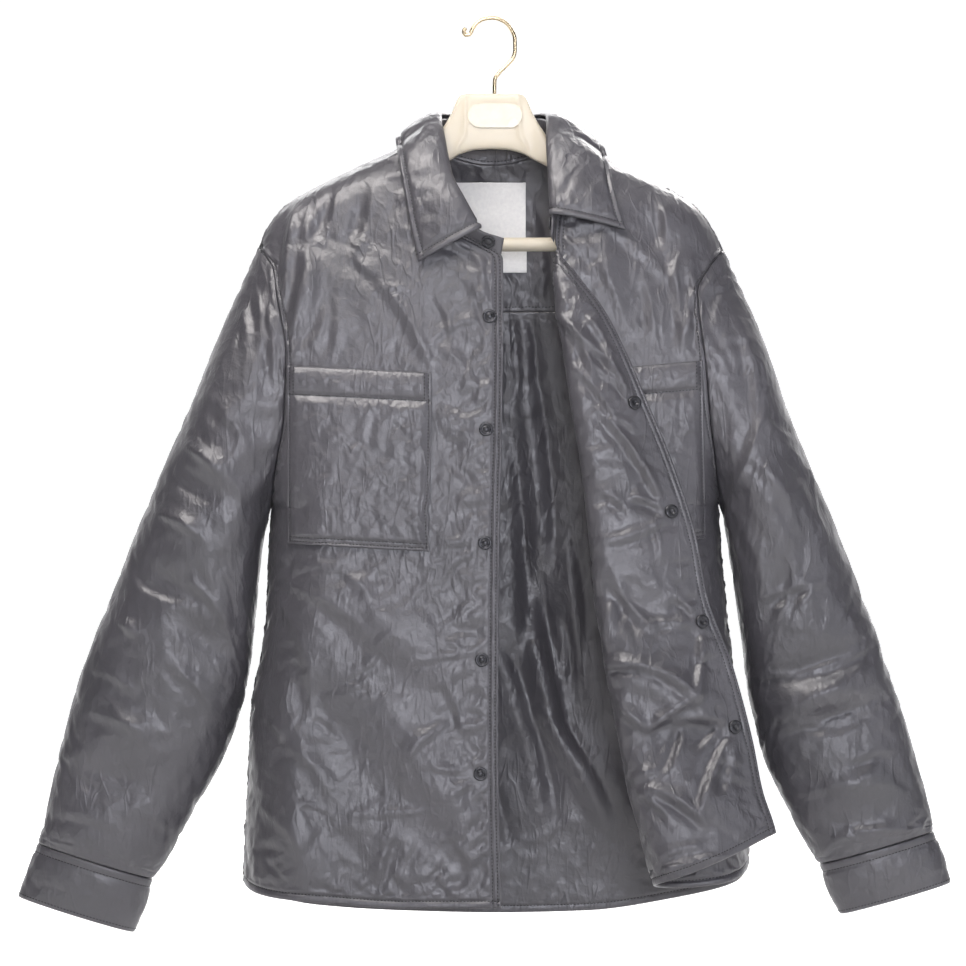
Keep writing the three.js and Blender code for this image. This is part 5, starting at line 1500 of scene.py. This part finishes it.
# Snaps: turned from a profile of radius and height above the cloth
STUD = (
    (0, 0), (6.5, 0), (7, 0.8), (6.6, 1.6), (6.0, 1.9), (5, 1.9), (4.4, 1.5), (4.2, 1.1),
    (2.8, 1.1), (2.5, 2.1), (2.0, 2.4), (0, 2.4),
)
SOCKET = (
    (0, 0), (6.4, 0), (7, 0.8), (6.6, 1.7), (5.6, 2.2), (3.8, 2.4), (3.2, 2.2), (2.8, 1.5),
    (2.6, 1.0), (0, 1.0),
)
SNAP_SIDES = 40
SNAP_GAP = 0.35


def snap(name, profile, point, normal):
    """A turned ring. Each end of its profile is one point on the axis, so that no face is empty."""
    normal = unit(np.array(normal))
    side = unit(np.cross(normal, (0.0, 0.0, 1.0)))
    up = np.cross(normal, side)
    turn = 2 * math.pi * np.arange(SNAP_SIDES) / SNAP_SIDES
    circle = np.cos(turn)[:, None] * side + np.sin(turn)[:, None] * up
    rings = [point + (height + SNAP_GAP) * normal + radius * circle for radius, height in profile]
    verts = np.concatenate([rings[0][:1], *rings[1:-1], rings[-1][:1]])
    index = 1 + np.arange((len(profile) - 2) * SNAP_SIDES).reshape(-1, SNAP_SIDES)
    index = np.vstack([np.zeros_like(index[:1]), index, np.full_like(index[:1], len(verts) - 1)])
    after = np.roll(index, -1, axis=1)
    a, b, c, d = index[:-1], index[1:], after[1:], after[:-1]
    faces = np.concatenate([np.stack([a, b, c], axis=-1)[:-1], np.stack([a, c, d], axis=-1)[1:]]).reshape(-1, 3)
    return settle(link("snap_" + name, verts, faces), snap_look, "snap_metal", name)


def surface_at(cloth, face, facing, x, z, columns=slice(None)):
    """The point and normal of a cloth at a place of the front view."""
    grid = face[:, columns]
    distance = np.hypot(grid[..., 0] - x, grid[..., 2] - z)
    i, j = np.unravel_index(distance.argmin(), distance.shape)
    normal = cloth.normals[:, columns][i, j] * facing
    point = grid[i, j].copy()
    dx, dz = x - point[0], z - point[2]
    point += (dx, -(normal[0] * dx + normal[2] * dz) / normal[1], dz)
    return point, normal


for i, (x, z) in enumerate(STUDS):
    snap(f"stud_{i + 1}", STUD, *surface_at(front_right, front_right.outer, 1, x, z))
flap_columns = slice(int(0.66 * front_left.u.shape[1]), None)
for i, (x, z) in enumerate(SOCKETS):
    snap(f"socket_{i + 1}", SOCKET, *surface_at(front_left, front_left.inner, -1, x, z, flap_columns))
middle_row = stand.grid.shape[0] // 2
snap("stud_collar", STUD, stand.outer[middle_row, 5], stand.normals[middle_row, 5])
snap("socket_collar", SOCKET, stand.inner[middle_row, -6], -stand.normals[middle_row, -6])

# Labels inside the back neck
LABEL = dict(left=-38, right=34, top=-161, bottom=-219.4)
TAG = dict(left=-7, right=35, top=-219.8, bottom=-251)
LABEL_WALL = 0.7
LABEL_BEHIND = 1.6


def label(name, place, node):
    columns = shares_of(place["right"] - place["left"], 2.5)
    rows = shares_of(place["top"] - place["bottom"], 2.5)
    x = np.broadcast_to(lerp(place["left"], place["right"], columns)[None, :], (len(rows), len(columns)))
    z = np.broadcast_to(lerp(place["top"], place["bottom"], rows)[:, None], x.shape)
    inside = yoke.inner.reshape(-1, 3)
    y = np.empty(x.shape)
    for i, j in np.ndindex(x.shape):
        near = np.abs(inside[:, 0] - x[i, j]) + np.abs(inside[:, 2] - z[i, j]) < 9
        y[i, j] = inside[near, 1].min()
    for _ in range(12):
        padded = np.pad(y, 1, mode="edge")
        y = np.minimum(y, (padded[:-2, 1:-1] + padded[2:, 1:-1] + padded[1:-1, :-2] + padded[1:-1, 2:]) / 4)
    curl = 0.8 * fade(rows, 1)[:, None] * (0.5 + 0.5 * noise(x, z, 30, 77))
    grid = np.stack([x, y - LABEL_BEHIND - curl, z], axis=-1)
    cloth = Cloth(grid, 1, LABEL_WALL)
    obj = settle(sheet_object(name, cloth), label_look, "label", node)


label("woven_label", LABEL, "neck_label")
label("woven_tag", TAG, "neck_tag")

# The hanger: a moulded neck with ribs, two arms and a trouser bar
HANGER = table(
    "out top bottom half",
    (0, -74, -129, 7), (16, -74, -130, 7), (25, -74, -132, 7), (31, -75, -134, 7), (35, -80, -136, 7),
    (40, -92, -139, 7), (46, -103, -142, 7.5), (52, -112, -145, 8), (58, -122, -148, 8.5),
    (69, -128, -152, 9.5), (84, -132.5, -161, 11), (100, -138, -168, 12), (125, -150, -179, 13),
    (150, -162.5, -190, 14), (175, -175, -200, 15), (192, -186, -206, 14), (204, -196, -209, 10),
    (208, -201, -208, 6),
)
HANGER_SIDES = 56
RIB_AT = 27
RIB_HEIGHT = 1.1
RIB_WIDTH = 2.2


def power(value, exponent):
    return np.sign(value) * np.abs(value) ** exponent


def closed_tube(name, rings):
    """A tube through rings of points, with flat ends."""
    count, sides = rings.shape[:2]
    index = np.arange(count * sides).reshape(count, sides)
    after = np.roll(index, -1, axis=1)
    faces = np.stack([index[:-1], after[:-1], after[1:], index[1:]], axis=-1).reshape(-1, 4)
    verts = np.concatenate([rings.reshape(-1, 3), rings[:1].mean(axis=1), rings[-1:].mean(axis=1)])
    first = count * sides
    caps = [(first, b, a) for a, b in zip(index[0], after[0])]
    caps += [(first + 1, a, b) for a, b in zip(index[-1], after[-1])]
    return mesh_object(name, verts * MM, faces.tolist() + caps)


def hanger_body():
    x = np.linspace(-208, 208, 260)[:, None]
    out = np.abs(x)
    top, bottom, half = (curve_of(HANGER, "out", name)(out) for name in ("top", "bottom", "half"))
    square = lerp(0.42, 1.0, fade(out - 44, 16))
    turn = (2 * math.pi * np.arange(HANGER_SIDES) / HANGER_SIDES)[None, :]
    up = power(np.sin(turn), square)
    z = (top + bottom) / 2 + (top - bottom) / 2 * up
    y = half * power(np.cos(turn), square)
    flare = RIB_AT + 8 * fade(-112 - z, 18)
    rib = np.exp(-(((out - flare) / RIB_WIDTH) ** 2)) * (out < 45)
    y = y + np.sign(y) * RIB_HEIGHT * rib * np.minimum(1, np.abs(y) / 5)
    return closed_tube("hanger", np.stack([np.broadcast_to(x, z.shape), y, z], axis=-1))


def rod(name, route, radius, sides, steps):
    points = np.array([(x, 0, z) for x, z in route], float)
    line = smooth_line(points, steps)
    ahead = unit(np.gradient(line, axis=0))
    side = np.array([0.0, 1.0, 0.0])
    up = np.cross(ahead, side)
    turn = 2 * math.pi * np.arange(sides) / sides
    rings = line[:, None] + radius * (
        np.cos(turn)[None, :, None] * side + np.sin(turn)[None, :, None] * up[:, None]
    )
    return closed_tube(name, rings)


HOOK_ROUTE = (
    (2.5, -73.7), (2.5, -68), (2.8, -60), (7, -53), (16, -44), (21.5, -37), (23, -30), (22.8, -19),
    (19, -9), (12, -1.5), (3, 1.8), (0, 2), (-8, 1), (-15, -3), (-19.5, -9), (-22.5, -14.5),
    (-26.5, -15), (-28.2, -11.5), (-26.5, -8),
)
BAR_ROUTE = (
    (-186, -205.5), (-185, -213), (-180, -220), (-170, -224), (-150, -224.5), (-60, -224.5),
    (60, -224.5), (150, -224.5), (170, -224), (180, -220), (185, -213), (186, -205.5),
)
settle(hanger_body(), ivory_look, "ivory_plastic", "hanger_body")
settle(rod("bar", BAR_ROUTE, 7, 32, 120), ivory_look, "ivory_plastic", "trouser_bar")
settle(rod("wire_hook", HOOK_ROUTE, 2, 20, 160), brass_look, "brass", "hook")
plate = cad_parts["hanger_plate"]
plate.data.materials.clear()
plate.data.materials.append(plate_look)

# Stage: a pale floor and backdrop, soft light and the camera
FLOOR = -0.98
GLOW_START = 1.0
GLOW_FULL = 2.6


def staged_sheet(name, profile, half_width):
    verts = [(x, y, z) for y, z in profile for x in (-half_width, half_width)]
    faces = [(2 * i, 2 * i + 1, 2 * i + 3, 2 * i + 2) for i in range(len(profile) - 1)]
    return mesh_object(name, verts, faces)


def staged_ring(name, profile, sides=96):
    """A surface turned round the vertical axis from radii and heights."""
    turn = 2 * math.pi * np.arange(sides) / sides
    verts = [(r * math.cos(t), r * math.sin(t), z) for r, z in profile for t in turn]
    index = np.arange(len(profile) * sides).reshape(len(profile), sides)
    after = np.roll(index, -1, axis=1)
    faces = np.stack([index[:-1], index[1:], after[1:], after[:-1]], axis=-1).reshape(-1, 4)
    return mesh_object(name, verts, faces.tolist())


def pale(name, near_glow, far_glow):
    """A pale surface that glows more the farther it is from the vertical axis."""
    look, nodes, links, shader = material(name)
    place = nodes.new("ShaderNodeTexCoord").outputs["Object"]
    flat = nodes.new("ShaderNodeVectorMath")
    flat.operation = "MULTIPLY"
    flat.inputs[1].default_value = (1, 1, 0)
    links.new(place, flat.inputs[0])
    radius = nodes.new("ShaderNodeVectorMath")
    radius.operation = "LENGTH"
    links.new(flat.outputs["Vector"], radius.inputs[0])
    glow = ramp(nodes, links, radius.outputs["Value"], near_glow, far_glow, GLOW_START, GLOW_FULL)
    links.new(glow, shader.inputs["Emission Strength"])
    shader.inputs["Base Color"].default_value = (0.9, 0.9, 0.9, 1)
    shader.inputs["Roughness"].default_value = 0.9
    shader.inputs["Emission Color"].default_value = (1, 1, 1, 1)
    return look


cove = [(13 + math.sin(t), FLOOR + 1 - math.cos(t)) for t in np.linspace(0, math.pi / 2, 14)]
floor = staged_ring("floor", [(0.001, FLOOR), (1.5, FLOOR), (3.5, FLOOR)])
floor.data.materials.append(pale("floor", 0.08, 1.0))
surround = staged_ring("surround", [(3.5, FLOOR)] + cove + [(14, 8.0)])
surround.data.materials.append(pale("surround", 0.08, 1.0))
surround.visible_diffuse = False
surround.visible_glossy = False
reflector = staged_sheet("reflector", [(2.4, FLOOR), (2.4, 4.5)], 6.0)
reflector.data.materials.append(pale("reflector", 0.3, 0.3))
reflector.visible_camera = False

world = bpy.data.worlds.new("studio")
world.use_nodes = True
world.node_tree.nodes["Background"].inputs["Color"].default_value = (1, 1, 1, 1)
world.node_tree.nodes["Background"].inputs["Strength"].default_value = 0.03
bpy.context.scene.world = world


def area_light(name, place, aim, size, power_watts, colour=(1, 1, 1)):
    data = bpy.data.lights.new(name, "AREA")
    data.color = colour
    data.shape = "RECTANGLE"
    data.size, data.size_y = size
    data.energy = power_watts
    obj = bpy.data.objects.new(name, data)
    bpy.context.scene.collection.objects.link(obj)
    obj.location = place
    direction = np.array(aim) - np.array(place)
    flat = math.hypot(direction[0], direction[1])
    obj.rotation_euler = (math.atan2(flat, -direction[2]), 0, math.atan2(-direction[0], direction[1]))
    return obj


WARM = (1.0, 0.955, 0.93)
COOL = (0.90, 0.91, 1.0)
area_light("key", (-0.35, -0.8, 0.66), (0, 0, -0.35), (0.9, 0.5), 16, WARM)
area_light("front", (0.6, -4.5, 0.1), (0, 0, -0.5), (1.2, 1.2), 68, COOL)
area_light("side", (2.5, -1.8, 0.3), (0, 0, -0.5), (0.8, 1.6), 12, COOL)
area_light("top", (0.1, -0.6, 1.9), (0, 0, -0.4), (1.8, 0.8), 12)
area_light("rear", (1.3, 2.2, 1.5), (0, 0, -0.5), (1.2, 1.0), 40, WARM)
area_light("floor_light", (0.0, 1.6, 1.2), (0, 1.4, -0.98), (3.0, 1.0), 60)

SENSOR_WIDTH = 36
CAMERA_DISTANCE = 5.0
VIEW_WIDTH = 0.966          # what the picture spans on the garment's plane
camera_data = bpy.data.cameras.new("camera")
camera_data.sensor_width = SENSOR_WIDTH
camera_data.lens = SENSOR_WIDTH * CAMERA_DISTANCE / VIEW_WIDTH
camera = bpy.data.objects.new("camera", camera_data)
bpy.context.scene.collection.objects.link(camera)
camera.location = (-0.009, -CAMERA_DISTANCE, -0.463)
camera.rotation_euler = (math.pi / 2, 0, 0)
bpy.context.scene.camera = camera
bpy.context.scene.view_settings.view_transform = "Standard"
